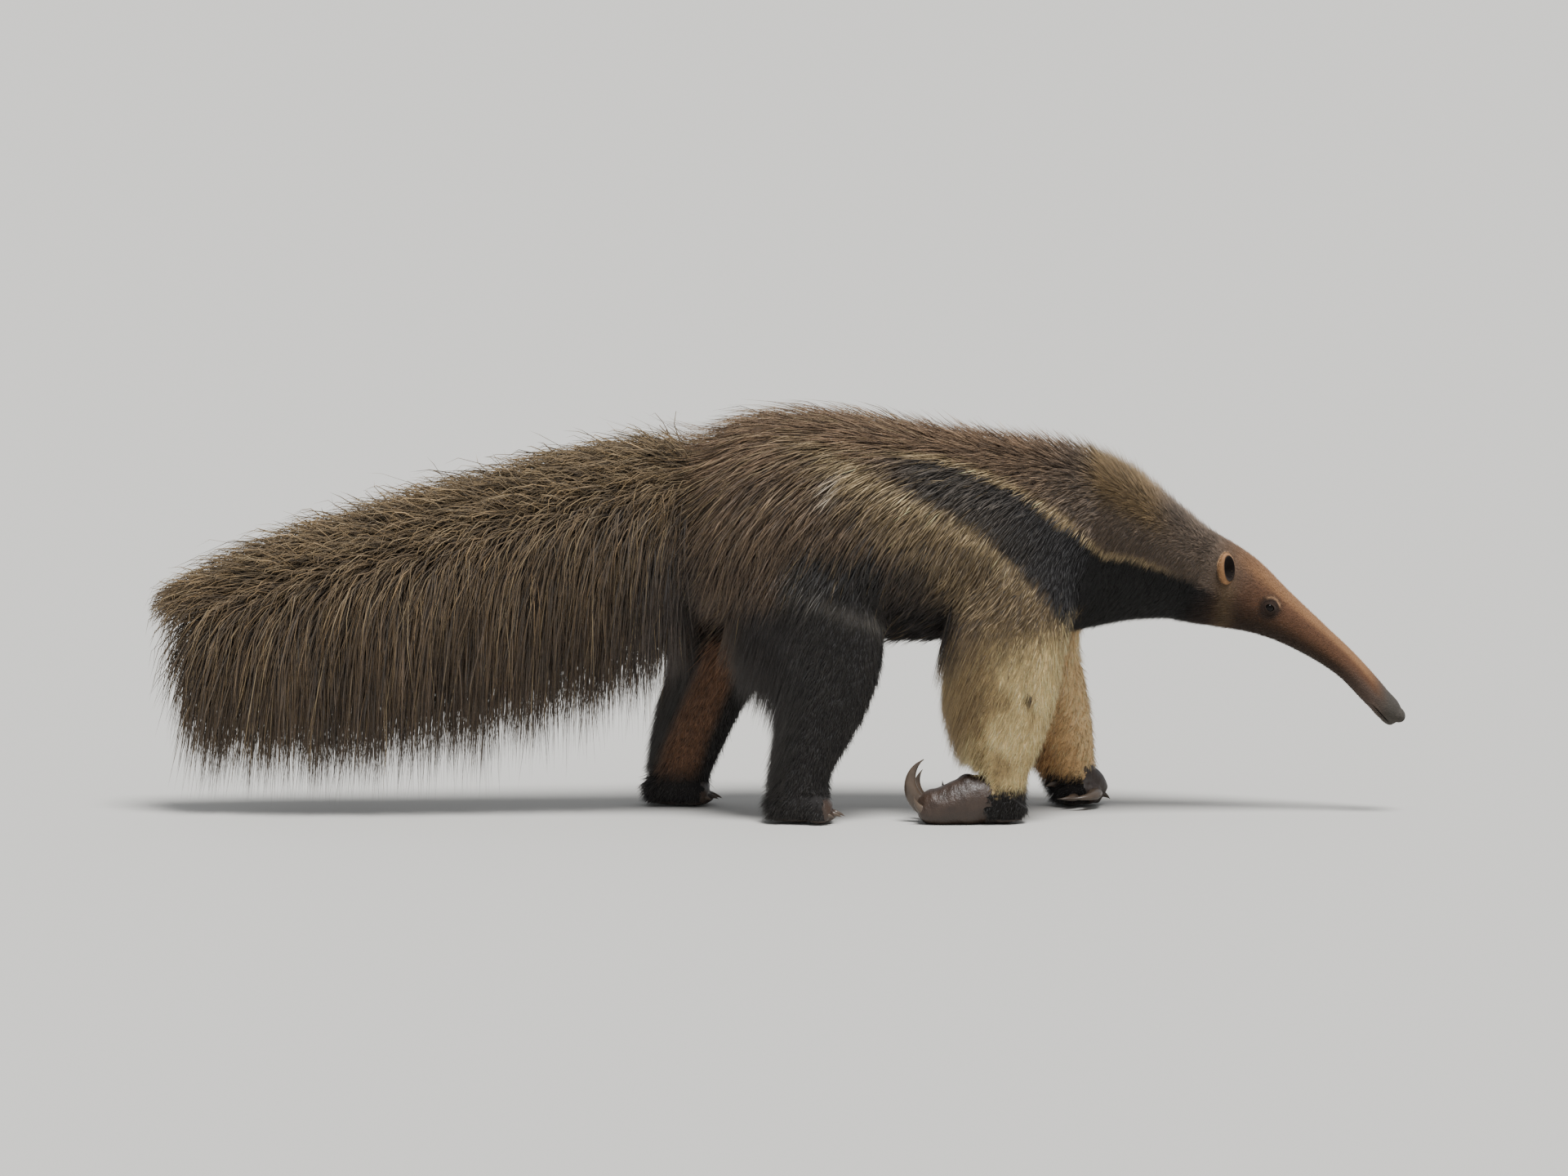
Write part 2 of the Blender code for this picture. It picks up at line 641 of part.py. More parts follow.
def out_of_tail(point):
    """The way out of the tail's hair at a point: sideways low down, and like a roof's slope over the ridge."""
    above = max(0.0, point.z - middle_of_tail(point.x).z)
    return Vector((0, math.copysign(max(abs(point.y), 0.03), point.y), 0.35 * above)).normalized()


def out_of_ridge(point):
    """The way out of the mane at a point, like a roof's slope."""
    return Vector((0, math.copysign(0.75, point.y), 0.65))


def tail(flesh, skin):
    """The tail: a narrow core that carries a deep curtain of long hair."""
    body = duplicate(flesh, "tail")
    parted(body, [beyond("ahead", *TAIL_CUT, -HALF_GAP)])
    keep_largest(body)
    fuse(body, tail_coat(skin), leg_cells() + [beyond("ahead", *TAIL_CUT, -HALF_GAP)])
    return finish(body, "tail", "coat_tail")


# Tiers of the tail's hair from its lowest fringe up: degrees from the top, locks along each side, share of the
# drop to the fringe, half-width at the tips, lift over the core, backward sweep.
Tier = namedtuple("Tier", "degrees count share spread lift sweep")
HANGING = (
    Tier(148, 11, 1.00, 0.022, 0.000, 0.050),
    Tier(106, 10, 0.90, 0.054, 0.004, 0.070),
    Tier(64, 10, 0.58, 0.080, 0.014, 0.095),
)
CREST = Tier(16, 10, 0, 0.026, 0.006, 0.150)
SHOULDER = Tier(40, 8, 0, 0.066, 0.016, 0.135)
END_LOCKS = 7


def tail_coat(skin):
    """Hanging tiers, each shingled over the one below, and two leaning tiers that close over the ridge."""
    coat = Coat(skin, space_of_tail, 13)
    chance = coat.chance
    for row, tier in enumerate(HANGING):
        for side in (RIGHT, LEFT):
            first = -0.160 - 0.012 * row - (0.034 if side == LEFT else 0.0)
            for k, x in enumerate(np.linspace(first, -0.862, tier.count)):
                place = x + chance.uniform(-0.010, 0.010)
                spot, normal = tail_root(coat, place, tier, side)
                end = np.interp(place, (-0.88, -0.70), (1.0, 0.0))
                swept = tier.sweep * chance.uniform(0.85, 1.15) + 0.040 * end
                tip_x = max(place - swept, -0.99)
                low = np.interp(tip_x, TAIL_X, TAIL_LOW) + chance.uniform(-0.006, 0.020)
                drop = (spot.z - low) * min(1.0, tier.share * chance.uniform(0.94, 1.06))
                across = side * tier.spread * (1 - 0.5 * end) * chance.uniform(0.85, 1.1)
                tip = Vector((tip_x, across, spot.z - drop))
                bend = spot + Vector((-0.5 * swept, side * (0.010 + tier.lift), -0.22 * drop)) + normal * 0.015
                width = LOCK_WIDTH["tail"] * (1 - 0.25 * end)
                lift = tier.lift + 0.004 * (k % 2)
                coat.plant(spot, normal, bend, tip, width, lift, out_of_tail, LONG_LOCK)
    for tier, top_share in ((SHOULDER, 0.45), (CREST, 1.0)):
        for side in (RIGHT, LEFT):
            first = -0.139 - (0.026 if side == LEFT else 0.0)
            for k, x in enumerate(np.linspace(first, -0.850, tier.count)):
                place = x + chance.uniform(-0.010, 0.010)
                spot, normal = tail_root(coat, place, tier, side)
                swept = tier.sweep * np.interp(place, (-0.24, -0.14), (1.0, 0.42)) * chance.uniform(0.85, 1.12)
                tip_x = max(place - swept, -0.985)
                high = np.interp(tip_x, TAIL_X, TAIL_HIGH) - chance.uniform(0.0, 0.010)
                middle = middle_of_tail(tip_x).z
                narrow = np.interp(tip_x, (-0.98, -0.80), (0.4, 1.0))
                tip = Vector((tip_x, side * tier.spread * narrow, middle + (high - middle) * top_share))
                bend = spot.lerp(tip, 0.42) + normal * 0.026
                lift = tier.lift + 0.003 * (k % 2)
                coat.plant(spot, normal, bend, tip, LOCK_WIDTH["crest"], lift, out_of_tail)
    for k in range(END_LOCKS):
        angle = 2 * math.pi * (k + 0.3) / END_LOCKS
        outward = Vector((-0.6, math.sin(angle), math.cos(angle))).normalized()
        spot, normal = coat.root(middle_of_tail(-0.880), outward)
        reach = chance.uniform(0.090, 0.112)
        tip = Vector((-0.890 - reach, math.sin(angle) * 0.030, 0.262 + math.cos(angle) * 0.050))
        bend = spot + Vector((-0.6 * reach, 0, 0.012)) + normal * 0.012
        coat.plant(spot, normal, bend, tip, LOCK_WIDTH["leg"], 0.0, out_of_tail)
    return coat


def tail_root(coat, x, tier, side):
    angle = math.radians(tier.degrees + coat.chance.uniform(-5, 5)) * side
    return coat.root(middle_of_tail(x), Vector((0, math.sin(angle), math.cos(angle))))


# Height on the leg, backward lean, length, and the places of the locks in degrees from straight behind
LEG_TIERS = {
    ("foreleg", RIGHT): (
        (0.310, 0.30, 0.105, (-5, 40)),
        (0.225, 0.22, 0.100, (-30, 15)),
        (0.165, 0.10, 0.080, (0,)),
    ),
    ("foreleg", LEFT): (
        (0.300, 0.12, 0.100, (-5, 40)),
        (0.215, 0.10, 0.090, (-25, 15)),
    ),
    ("hindleg", RIGHT): (
        (0.385, 0.20, 0.140, (5, 50)),
        (0.310, 0.16, 0.120, (-20, 25, 70)),
        (0.235, 0.24, 0.090, (5,)),
        (0.165, 0.30, 0.065, (20,)),
    ),
    ("hindleg", LEFT): (
        (0.360, 0.24, 0.125, (5, 50)),
        (0.285, 0.24, 0.110, (-20, 25, 70)),
        (0.205, 0.26, 0.090, (-15, 25)),
        (0.150, 0.20, 0.065, (5,)),
    ),
}


def leg(flesh, skin, key):
    """One leg from its arch on the flank down to the wrist or ankle, with the long hair behind it."""
    kind, side = key
    name = f"{kind}_{SIDE_NAMES[side]}"
    body = duplicate(flesh, name)
    boolean(body, "INTERSECT", [leg_cell("cell", key, -HALF_GAP)])
    top = FOOT_TOP[kind]
    parted(body, [beyond("below", Vector((0, 0, top)), -UPWARD, -HALF_GAP)])
    keep_largest(body)
    coat = Coat(skin, lambda p: in_leg_cell(p, key, -SPACE_MARGIN) and p.z > top + 2 * SPACE_MARGIN, 28 + side)
    rows = list(LEGS[key].values())[::-1]
    heights = [s.z for s in rows]
    for height, lean, length, turns in LEG_TIERS[key]:
        middle = Vector([np.interp(height, heights, [getattr(s, axis) for s in rows]) for axis in "xyz"])
        for k, turn in enumerate(turns):
            angle = math.radians(turn + coat.chance.uniform(-4, 4))
            outward = Vector((-math.cos(angle), side * math.sin(angle), 0))
            spot, normal = coat.root(middle, outward)
            heading = Vector((-lean, 0, -1)).normalized()
            tip = spot + heading * length * coat.chance.uniform(0.9, 1.1) + normal * 0.018
            bend = spot.lerp(tip, 0.5) + normal * 0.010
            coat.plant(spot, normal, bend, tip, LOCK_WIDTH["leg"], 0.003 * (k % 2))
    fuse(body, coat, [beyond("below", Vector((0, 0, top)), -UPWARD, -HALF_GAP)], [leg_cell("cell", key, -HALF_GAP)])
    slot = "coat_foreleg" if kind == "foreleg" else "coat_hindleg"
    return finish(body, name, slot)


def stub(flesh, key, name):
    """The lower end of a leg, below its parting line."""
    body = duplicate(flesh, name)
    parted(body, [beyond("above", Vector((0, 0, FOOT_TOP[key[0]])), UPWARD, -HALF_GAP)])
    boolean(body, "INTERSECT", [leg_cell("cell", key, 0.02)])
    keep_largest(body)
    return body


def claw(name, root, heading, bend, length, radius, curl, sides=8, rings=7, grow=0.0):
    """A horn claw that curves through an angle about the curl axis, from its buried root to its point."""
    direction = heading.normalized()
    turn = Matrix.Rotation(math.radians(bend) / (rings - 1), 3, curl)
    point = root.copy()
    step = length / (rings - 1)
    points, faces = [], []
    for i in range(rings):
        share = i / (rings - 1)
        size = radius * max(0.06, (1 - share**1.5)) + grow
        across = direction.cross(curl).normalized()
        for k in range(sides):
            angle = 2 * math.pi * k / sides
            points.append(point + curl.normalized() * size * 0.72 * math.cos(angle) + across * size * math.sin(angle))
        point = point + direction * step
        direction = turn @ direction
    points.append(point)
    for i in range(rings - 1):
        for k in range(sides):
            a, b = i * sides + k, i * sides + (k + 1) % sides
            faces += [(a, b, b + sides), (a, b + sides, a + sides)]
    last = (rings - 1) * sides
    faces += [(last + k, last + (k + 1) % sides, len(points) - 1) for k in range(sides)]
    faces += [(0, k + 1, k) for k in range(1, sides - 1)]
    return mesh_from(name, points, faces)


def set_claws(body, claws):
    """Makes each claw its own node, seated in a socket that clears it by the gap."""
    for name, settings in claws:
        made = claw(name, **settings)
        boolean(body, "DIFFERENCE", [claw("socket", grow=GAP, **settings)])
        finish(made, name, "horn_claw")


def above_ground(body):
    return parted(body, [beyond("below", Vector((0, 0, 0)), -UPWARD, 0)])


def hand_right(flesh):
    """The trailing right hand, bent back at the wrist so that its great claw curls up behind it."""
    body = stub(flesh, ("foreleg", RIGHT), "hand_right")
    palm = (
        Section(0.362, -0.114, 0.034, 0.033, 0.034, 0.040),
        Section(0.322, -0.116, 0.036, 0.037, 0.038, 0.042),
        Section(0.300, -0.118, 0.034, 0.037, 0.040, 0.040),
        Section(0.276, -0.119, 0.028, 0.036, 0.033, 0.036),
        Section(0.254, -0.119, 0.025, 0.034, 0.031, 0.031),
        Section(0.236, -0.119, 0.024, 0.027, 0.025, 0.028),
        Section(0.224, -0.118, 0.024, 0.014, 0.013, 0.015),
    )
    pieces = [flip_loft("palm", palm, 11, 14)]
    pieces.append(ball("carpal_pad", Vector((0.302, -0.116, 0.060)), (0.019, 0.026, 0.019)))
    pieces.append(ball("third_finger", Vector((0.245, -0.104, 0.026)), (0.026, 0.019, 0.023)))
    pieces.append(ball("second_finger", Vector((0.256, -0.080, 0.024)), (0.030, 0.016, 0.020)))
    pieces.append(ball("fourth_finger", Vector((0.248, -0.136, 0.020)), (0.024, 0.014, 0.018)))
    pieces.append(ball("thumb", Vector((0.290, -0.082, 0.034)), (0.024, 0.012, 0.014)))
    boolean(body, "UNION", pieces)
    thin(body, HAND_TRIANGLES)
    above_ground(body)
    parted(body, [beyond("above", Vector((0, 0, FOOT_TOP["foreleg"])), UPWARD, -HALF_GAP)])
    set_claws(body, (
        ("claw_right_3", dict(root=Vector((0.237, -0.106, 0.024)), heading=Vector((-1, 0, 0.55)), bend=125,
                              length=0.094, radius=0.0150, curl=LATERAL)),
        ("claw_right_2", dict(root=Vector((0.246, -0.079, 0.024)), heading=Vector((-1, 0.10, 0.45)), bend=110,
                              length=0.068, radius=0.0110, curl=LATERAL)),
        ("claw_right_4", dict(root=Vector((0.240, -0.138, 0.020)), heading=Vector((-1, -0.12, 0.25)), bend=75,
                              length=0.038, radius=0.0080, curl=LATERAL, sides=6, rings=5)),
        ("claw_right_1", dict(root=Vector((0.280, -0.076, 0.036)), heading=Vector((-1, 0.35, 0.45)), bend=70,
                              length=0.034, radius=0.0060, curl=LATERAL, sides=6, rings=5)),
    ))
    return finish(body, "hand_right", "skin_foot")


def flip_loft(name, sections, rings, sides):
    """A loft whose path runs backwards, so its sections are turned the right way up."""
    turned = [s._replace(up=s.down, down=s.up) for s in sections]
    return loft(name, turned, rings, sides)


def hand_left(flesh):
    """The left hand set down on its knuckles, with its claws folded back under the palm."""
    body = stub(flesh, ("foreleg", LEFT), "hand_left")
    knuckles = (
        Section(0.444, 0.110, 0.032, 0.024, 0.026, 0.034),
        Section(0.466, 0.112, 0.037, 0.034, 0.034, 0.042),
        Section(0.494, 0.112, 0.033, 0.036, 0.034, 0.038),
        Section(0.514, 0.112, 0.025, 0.030, 0.025, 0.030),
        Section(0.526, 0.112, 0.018, 0.016, 0.013, 0.020),
    )
    pieces = [loft("knuckles", knuckles, 9, 14)]
    pieces.append(ball("third_finger", Vector((0.497, 0.086, 0.024)), (0.024, 0.018, 0.020)))
    pieces.append(ball("second_finger", Vector((0.474, 0.078, 0.020)), (0.024, 0.014, 0.016)))
    boolean(body, "UNION", pieces)
    thin(body, HAND_TRIANGLES)
    above_ground(body)
    parted(body, [beyond("above", Vector((0, 0, FOOT_TOP["foreleg"])), UPWARD, -HALF_GAP)])
    set_claws(body, (
        ("claw_left_3", dict(root=Vector((0.508, 0.082, 0.024)), heading=Vector((0.25, -1, -0.05)), bend=-112,
                             length=0.080, radius=0.0130, curl=UPWARD)),
        ("claw_left_2", dict(root=Vector((0.476, 0.074, 0.018)), heading=Vector((0.05, -1, 0.0)), bend=-95,
                             length=0.045, radius=0.0095, curl=UPWARD)),
        ("claw_left_4", dict(root=Vector((0.512, 0.118, 0.018)), heading=Vector((1, 0.25, 0.05)), bend=55,
                             length=0.028, radius=0.0075, curl=LATERAL, sides=6, rings=5)),
        ("claw_left_1", dict(root=Vector((0.452, 0.088, 0.036)), heading=Vector((-1, -0.4, 0.2)), bend=-40,
                             length=0.024, radius=0.0055, curl=LATERAL, sides=6, rings=5)),
    ))
    return finish(body, "hand_left", "skin_foot")


def hind_foot(flesh, side):
    """A flat-soled hind foot with five short claws."""
    key = ("hindleg", side)
    name = f"foot_{SIDE_NAMES[side]}"
    body = stub(flesh, key, name)
    heel = LEGS[key]["heel"]
    y = heel.y
    sole = (
        Section(heel.x - 0.050, y, 0.022, 0.022, 0.018, 0.028),
        Section(heel.x - 0.026, y, 0.028, 0.032, 0.027, 0.036),
        Section(heel.x + 0.006, y + side * 0.002, 0.028, 0.038, 0.029, 0.034),
        Section(heel.x + 0.030, y + side * 0.004, 0.021, 0.041, 0.024, 0.027),
        Section(heel.x + 0.044, y + side * 0.004, 0.016, 0.034, 0.016, 0.021),
    )
    pieces = [loft("sole", sole, 9, 14)]
    claws = []
    for k in range(5):
        spread = (k - 2) / 2
        length = 0.024 - 0.005 * abs(spread - 0.1)
        toe = Vector((heel.x + 0.038 - 0.012 * spread**2, y + side * 0.004 + 0.031 * spread, 0.014))
        pieces.append(ball("toe", toe, (0.018, 0.0085, 0.0115), None, 8))
        root = toe + Vector((0.008, 0.001 * spread, 0.002))
        claws.append((f"claw_hind_{SIDE_NAMES[side]}_{k + 1}",
                      dict(root=root, heading=Vector((1, 0.10 * spread, 0.12)), bend=44, length=length,
                           radius=0.0048, curl=LATERAL, sides=6, rings=4)))
    boolean(body, "UNION", pieces)
    thin(body, FOOT_TRIANGLES)
    above_ground(body)
    parted(body, [beyond("above", Vector((0, 0, FOOT_TOP["hindleg"])), UPWARD, -HALF_GAP)], "MANIFOLD")
    set_claws(body, claws)
    return finish(body, name, "skin_foot")


def snout_frame(x):
    """A point on the head's middle line, its forward direction and its upward direction."""
    rows = smooth_rows(TRUNK.values(), 240)
    index = int(np.argmin(abs(rows[:, 0] - x)))
    forward = Vector(rows[min(index + 1, 239), :3] - rows[index - 1, :3]).normalized()
    return Vector(rows[index, :3]), forward, forward.cross(LATERAL).normalized()


def oriented(forward, up):
    """A turn that takes X to forward and Z to up."""
    return Matrix((forward, up.cross(forward), up)).transposed().to_4x4()


def head_shape(name, grow=0.0):
    sections = list(TRUNK.values())[8:]
    return loft(name, sections, 22, 20, TOP_NARROWING, grow)


def head():
    """The long head: brow and lids, the small mouth with its lips, and the nostrils at the end of the snout."""
    body = head_shape("head")
    parted(body, [behind("astern", *HEAD_CUT, -HALF_GAP)])
    additions, cutters = [], []
    for side in (RIGHT, LEFT):
        centre = Vector((EYE_CENTRE.x, side * EYE_CENTRE.y, EYE_CENTRE.z))
        _, forward, up = snout_frame(EYE_CENTRE.x)
        turn = oriented(forward, up)
        additions.append(ball("lids", centre, (0.0128, 0.0105, 0.0108), turn, 12))
        brow = centre + up * 0.0095 - forward * 0.001 - Vector((0, side * 0.0025, 0))
        additions.append(ball("brow", brow, (0.0150, 0.0075, 0.0048), turn))
        cutters.append(ball("socket", centre, (EYE_RADIUS + GAP,) * 3, turn, 12))
        opening = centre + Vector((0, side * 0.010, 0)) - up * 0.0002
        cutters.append(ball("opening", opening, (0.0066, 0.0080, 0.0040), turn, 10))
    middle, forward, up = snout_frame(0.958)
    turn = oriented(forward, up)
    nose_middle, nose_forward, nose_up = snout_frame(0.984)
    nose_turn = oriented(nose_forward, nose_up)
    upper = nose_middle + nose_up * 0.0050 + nose_forward * 0.004
    additions.append(ball("nose_pad", upper, (0.0150, 0.0160, 0.0125), nose_turn, 14))
    lip = nose_middle - nose_up * 0.0115 - nose_forward * 0.006
    additions.append(ball("lower_lip", lip, (0.0160, 0.0125, 0.0085), nose_turn, 12))
    for side in (RIGHT, LEFT):
        cheek = middle - up * 0.0105 + Vector((0, side * 0.0125, 0))
        additions.append(ball("upper_lip", cheek, (0.0300, 0.0062, 0.0055), turn))
        nostril = upper + nose_forward * 0.0115 + nose_up * 0.001 + Vector((0, side * 0.0068, 0))
        cutters.append(ball("nostril", nostril, (0.0062, 0.0024, 0.0040), nose_turn))
    slit = middle - up * 0.0160 + forward * 0.014
    cutters.append(ball("mouth", slit, (0.0420, 0.0300, 0.0011), turn))
    boolean(body, "UNION", additions)
    thin(body, HEAD_TRIANGLES)
    boolean(body, "DIFFERENCE", cutters)
    for side in (RIGHT, LEFT):
        eye(side)
        boolean(body, "DIFFERENCE", [ear_shape("ear_seat", side, GAP)])
        ear = ear_shape("ear", side)
        finish(ear, f"ear_{SIDE_NAMES[side]}", "coat_face")
    return finish(body, "head", "coat_face", 45)


def eye(side):
    centre = Vector((EYE_CENTRE.x, side * EYE_CENTRE.y, EYE_CENTRE.z))
    _, forward, up = snout_frame(EYE_CENTRE.x)
    made = ball("eye", centre, (EYE_RADIUS,) * 3, oriented(forward, up), 12)
    return finish(made, f"eye_{SIDE_NAMES[side]}", "eye", 90)


def ear_shape(name, side, grow=0.0):
    """A rounded ear cup that opens outwards and forwards, its root sunk in the side of the head."""
    base = Vector((0.713, side * 0.047, 0.372))
    up = Vector((-0.10, side * 0.28, 0.96)).normalized()
    facing = Vector((0.42, side * 0.90, -0.22)).normalized()
    facing = (facing - up * facing.dot(up)).normalized()
    turn = oriented(facing, up)
    middle = base + up * EAR_HEIGHT * 0.48
    shell = ball(name, middle, (0.0095 + grow, EAR_WIDTH / 2 + grow, EAR_HEIGHT * 0.54 + grow), turn, 12)
    if not grow:
        hollow = ball("hollow", middle + facing * 0.0085 + up * 0.004, (0.0120, 0.0130, 0.0215), turn, 10)
        boolean(shell, "DIFFERENCE", [hollow])
    return shell


def main():
    clear_scene()
    flesh = whole_flesh()
    skin = tree_of(flesh)
    torso(flesh, skin)
    neck(flesh, skin)
    tail(flesh, skin)
    for key in LEGS:
        leg(flesh, skin, key)
    hand_right(flesh)
    hand_left(flesh)
    hind_foot(flesh, RIGHT)
    hind_foot(flesh, LEFT)
    remove(flesh)
    head()


main()
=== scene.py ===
"""A life-size giant anteater in mid-stride: skin, coat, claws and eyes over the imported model.

Sizes are in metres. The animal faces +X, its left side is +Y and up is +Z.
"""

import math
from collections import namedtuple

import bpy
import numpy as np
from mathutils import Matrix, Vector, noise
from mathutils.bvhtree import BVHTree
from mathutils.kdtree import KDTree


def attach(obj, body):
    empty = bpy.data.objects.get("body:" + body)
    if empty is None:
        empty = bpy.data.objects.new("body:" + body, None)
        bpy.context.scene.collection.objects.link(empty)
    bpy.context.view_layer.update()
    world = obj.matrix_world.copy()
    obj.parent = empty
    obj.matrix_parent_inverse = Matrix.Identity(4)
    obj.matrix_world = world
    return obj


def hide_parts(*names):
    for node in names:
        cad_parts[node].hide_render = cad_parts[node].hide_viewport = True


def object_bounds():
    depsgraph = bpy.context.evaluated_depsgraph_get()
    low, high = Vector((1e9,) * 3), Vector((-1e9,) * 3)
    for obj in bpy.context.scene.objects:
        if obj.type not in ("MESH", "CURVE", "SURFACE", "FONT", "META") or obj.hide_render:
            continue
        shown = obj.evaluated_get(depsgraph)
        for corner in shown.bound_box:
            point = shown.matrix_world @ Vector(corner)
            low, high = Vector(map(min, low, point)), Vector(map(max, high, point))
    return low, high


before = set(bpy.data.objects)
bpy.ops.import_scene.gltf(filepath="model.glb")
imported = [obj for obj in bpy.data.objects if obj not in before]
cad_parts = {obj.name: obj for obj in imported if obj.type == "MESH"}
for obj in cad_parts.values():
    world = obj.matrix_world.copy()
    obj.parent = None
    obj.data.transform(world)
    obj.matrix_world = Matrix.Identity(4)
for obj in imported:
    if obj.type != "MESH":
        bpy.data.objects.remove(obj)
cad_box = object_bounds()

RIGHT, LEFT = -1, 1
SIDE_NAMES = {RIGHT: "right", LEFT: "left"}
GAP = 0.0003

# The coat's depth that the skin leaves between itself and the solids
BODY_INSET = 0.005
LEG_INSET = BODY_INSET * 0.6
HEAD_INSET = 0.0016
WRIST_INSET = 0.004

# The grain that pieces are melted at, and the share of their triangles that is kept
BODY_VOXEL, BODY_SHARE = 0.0070, 0.45
HEAD_VOXEL, HEAD_SHARE = 0.0014, 0.55
HAND_VOXEL, HAND_SHARE = 0.0021, 0.45
EAR_VOXEL = 0.0009

EYE_RADIUS = 0.0085
EYE_CENTRE = Vector((0.783, 0.0375, 0.3345))

# The left ear: its foot, where its tip and its opening point, its shell and the hollow in it
EAR_FOOT = (0.716, 0.048, 0.374)
EAR_UP = (-0.10, 0.28, 0.96)
EAR_FACING = (0.70, 0.68, -0.20)
EAR_SHELL = (0.0105, 0.0165, 0.0272)
EAR_HOLLOW = (0.0135, 0.0112, 0.0205)
HOLLOW_SHIFT = (0.0092, 0, 0.0030)

# A ring of a body form: its middle, its half width and its reach above and below the middle
Section = namedtuple("Section", "x y z wide up down")
Arch = namedtuple("Arch", "x z radius inner trail")


def profile(*rows):
    return tuple(Section(*row) for row in rows)


def spine(*rows):
    """Sections on the animal's middle plane, given without their y."""
    return tuple(Section(x, 0, *sizes) for x, *sizes in rows)


# The trunk from the rump to the neck
TRUNK = spine(
    (-0.135, 0.485, 0.055, 0.070, 0.075),
    (-0.079, 0.466, 0.100, 0.129, 0.125),
    (-0.014, 0.461, 0.125, 0.157, 0.150),
    (0.077, 0.456, 0.136, 0.168, 0.160),
    (0.181, 0.447, 0.142, 0.166, 0.163),
    (0.298, 0.442, 0.140, 0.157, 0.158),
    (0.415, 0.439, 0.130, 0.146, 0.148),
    (0.519, 0.427, 0.105, 0.130, 0.130),
)
NECK = spine(
    (0.598, 0.407, 0.078, 0.098, 0.099),
    (0.679, 0.379, 0.061, 0.073, 0.073),
)
FACE = spine(
    (0.733, 0.356, 0.053, 0.062, 0.061),
    (0.792, 0.323, 0.042, 0.043, 0.042),
    (0.850, 0.284, 0.031, 0.031, 0.030),
    (0.906, 0.241, 0.0245, 0.0235, 0.0235),
    (0.958, 0.186, 0.021, 0.0215, 0.0215),
    (0.981, 0.161, 0.0185, 0.0195, 0.0190),
    (0.9905, 0.151, 0.0115, 0.0125, 0.0115),
)
SPINE = (*TRUNK, *NECK, *FACE)
TAIL = spine(
    (-0.060, 0.500, 0.055, 0.070, 0.070),
    (-0.170, 0.478, 0.058, 0.078, 0.092),
    (-0.326, 0.440, 0.050, 0.068, 0.086),
    (-0.482, 0.400, 0.046, 0.062, 0.082),
    (-0.638, 0.362, 0.042, 0.056, 0.074),
    (-0.794, 0.325, 0.034, 0.046, 0.058),
    (-0.875, 0.312, 0.022, 0.030, 0.036),
    (-0.905, 0.306, 0.010, 0.013, 0.013),
)
LEGS = {
    ("foreleg", RIGHT): profile(
        (0.412, -0.070, 0.470, 0.048, 0.075, 0.075),
        (0.384, -0.092, 0.370, 0.054, 0.094, 0.094),
        (0.365, -0.108, 0.283, 0.058, 0.092, 0.090),
        (0.360, -0.113, 0.204, 0.054, 0.084, 0.080),
        (0.356, -0.115, 0.130, 0.045, 0.066, 0.056),
        (0.356, -0.115, 0.072, 0.034, 0.043, 0.038),
        (0.360, -0.115, 0.022, 0.032, 0.036, 0.034),
        (0.361, -0.115, 0.004, 0.029, 0.031, 0.030),
    ),
    ("foreleg", LEFT): profile(
        (0.428, 0.070, 0.460, 0.048, 0.070, 0.070),
        (0.421, 0.090, 0.355, 0.053, 0.078, 0.084),
        (0.412, 0.104, 0.260, 0.056, 0.074, 0.078),
        (0.436, 0.107, 0.181, 0.050, 0.064, 0.066),
        (0.460, 0.108, 0.105, 0.042, 0.053, 0.055),
        (0.473, 0.108, 0.060, 0.034, 0.042, 0.045),
        (0.484, 0.108, 0.022, 0.032, 0.038, 0.038),
        (0.486, 0.108, 0.004, 0.028, 0.034, 0.034),
    ),
    ("hindleg", RIGHT): profile(
        (0.020, -0.066, 0.470, 0.045, 0.085, 0.085),
        (0.044, -0.090, 0.372, 0.056, 0.096, 0.098),
        (0.084, -0.104, 0.284, 0.054, 0.088, 0.086),
        (0.078, -0.108, 0.204, 0.046, 0.073, 0.062),
        (0.057, -0.110, 0.132, 0.040, 0.056, 0.054),
        (0.042, -0.110, 0.073, 0.036, 0.044, 0.048),
        (0.040, -0.110, 0.030, 0.035, 0.046, 0.050),
        (0.040, -0.110, 0.004, 0.030, 0.040, 0.044),
    ),
    ("hindleg", LEFT): profile(
        (-0.018, 0.064, 0.460, 0.045, 0.085, 0.085),
        (-0.040, 0.088, 0.362, 0.055, 0.090, 0.094),
        (-0.074, 0.102, 0.258, 0.052, 0.072, 0.080),
        (-0.114, 0.106, 0.170, 0.044, 0.060, 0.066),
        (-0.142, 0.108, 0.100, 0.039, 0.056, 0.054),
        (-0.154, 0.108, 0.055, 0.036, 0.050, 0.048),
        (-0.156, 0.108, 0.022, 0.035, 0.048, 0.048),
        (-0.156, 0.108, 0.004, 0.030, 0.042, 0.042),
    ),
}

# Where each leg parts from the trunk: an arch in side view, its depth inwards and its reach behind
ARCHES = {
    ("foreleg", RIGHT): Arch(0.378, 0.372, 0.108, 0.066, 0.018),
    ("foreleg", LEFT): Arch(0.424, 0.362, 0.104, 0.066, 0.0),
    ("hindleg", RIGHT): Arch(0.052, 0.372, 0.118, 0.062, 0.0),
    ("hindleg", LEFT): Arch(-0.060, 0.345, 0.112, 0.062, 0.055),
}
GROIN_HEIGHT = 0.272
LEG_INNER = 0.010
HEAD_CUT = ((0.676, 0, 0.380), (0.90, 0, -0.43))
NECK_CUT = ((0.500, 0, 0.430), (0.97, 0, -0.24))
TAIL_CUT = ((-0.130, 0, 0.480), (1.0, 0, -0.08))


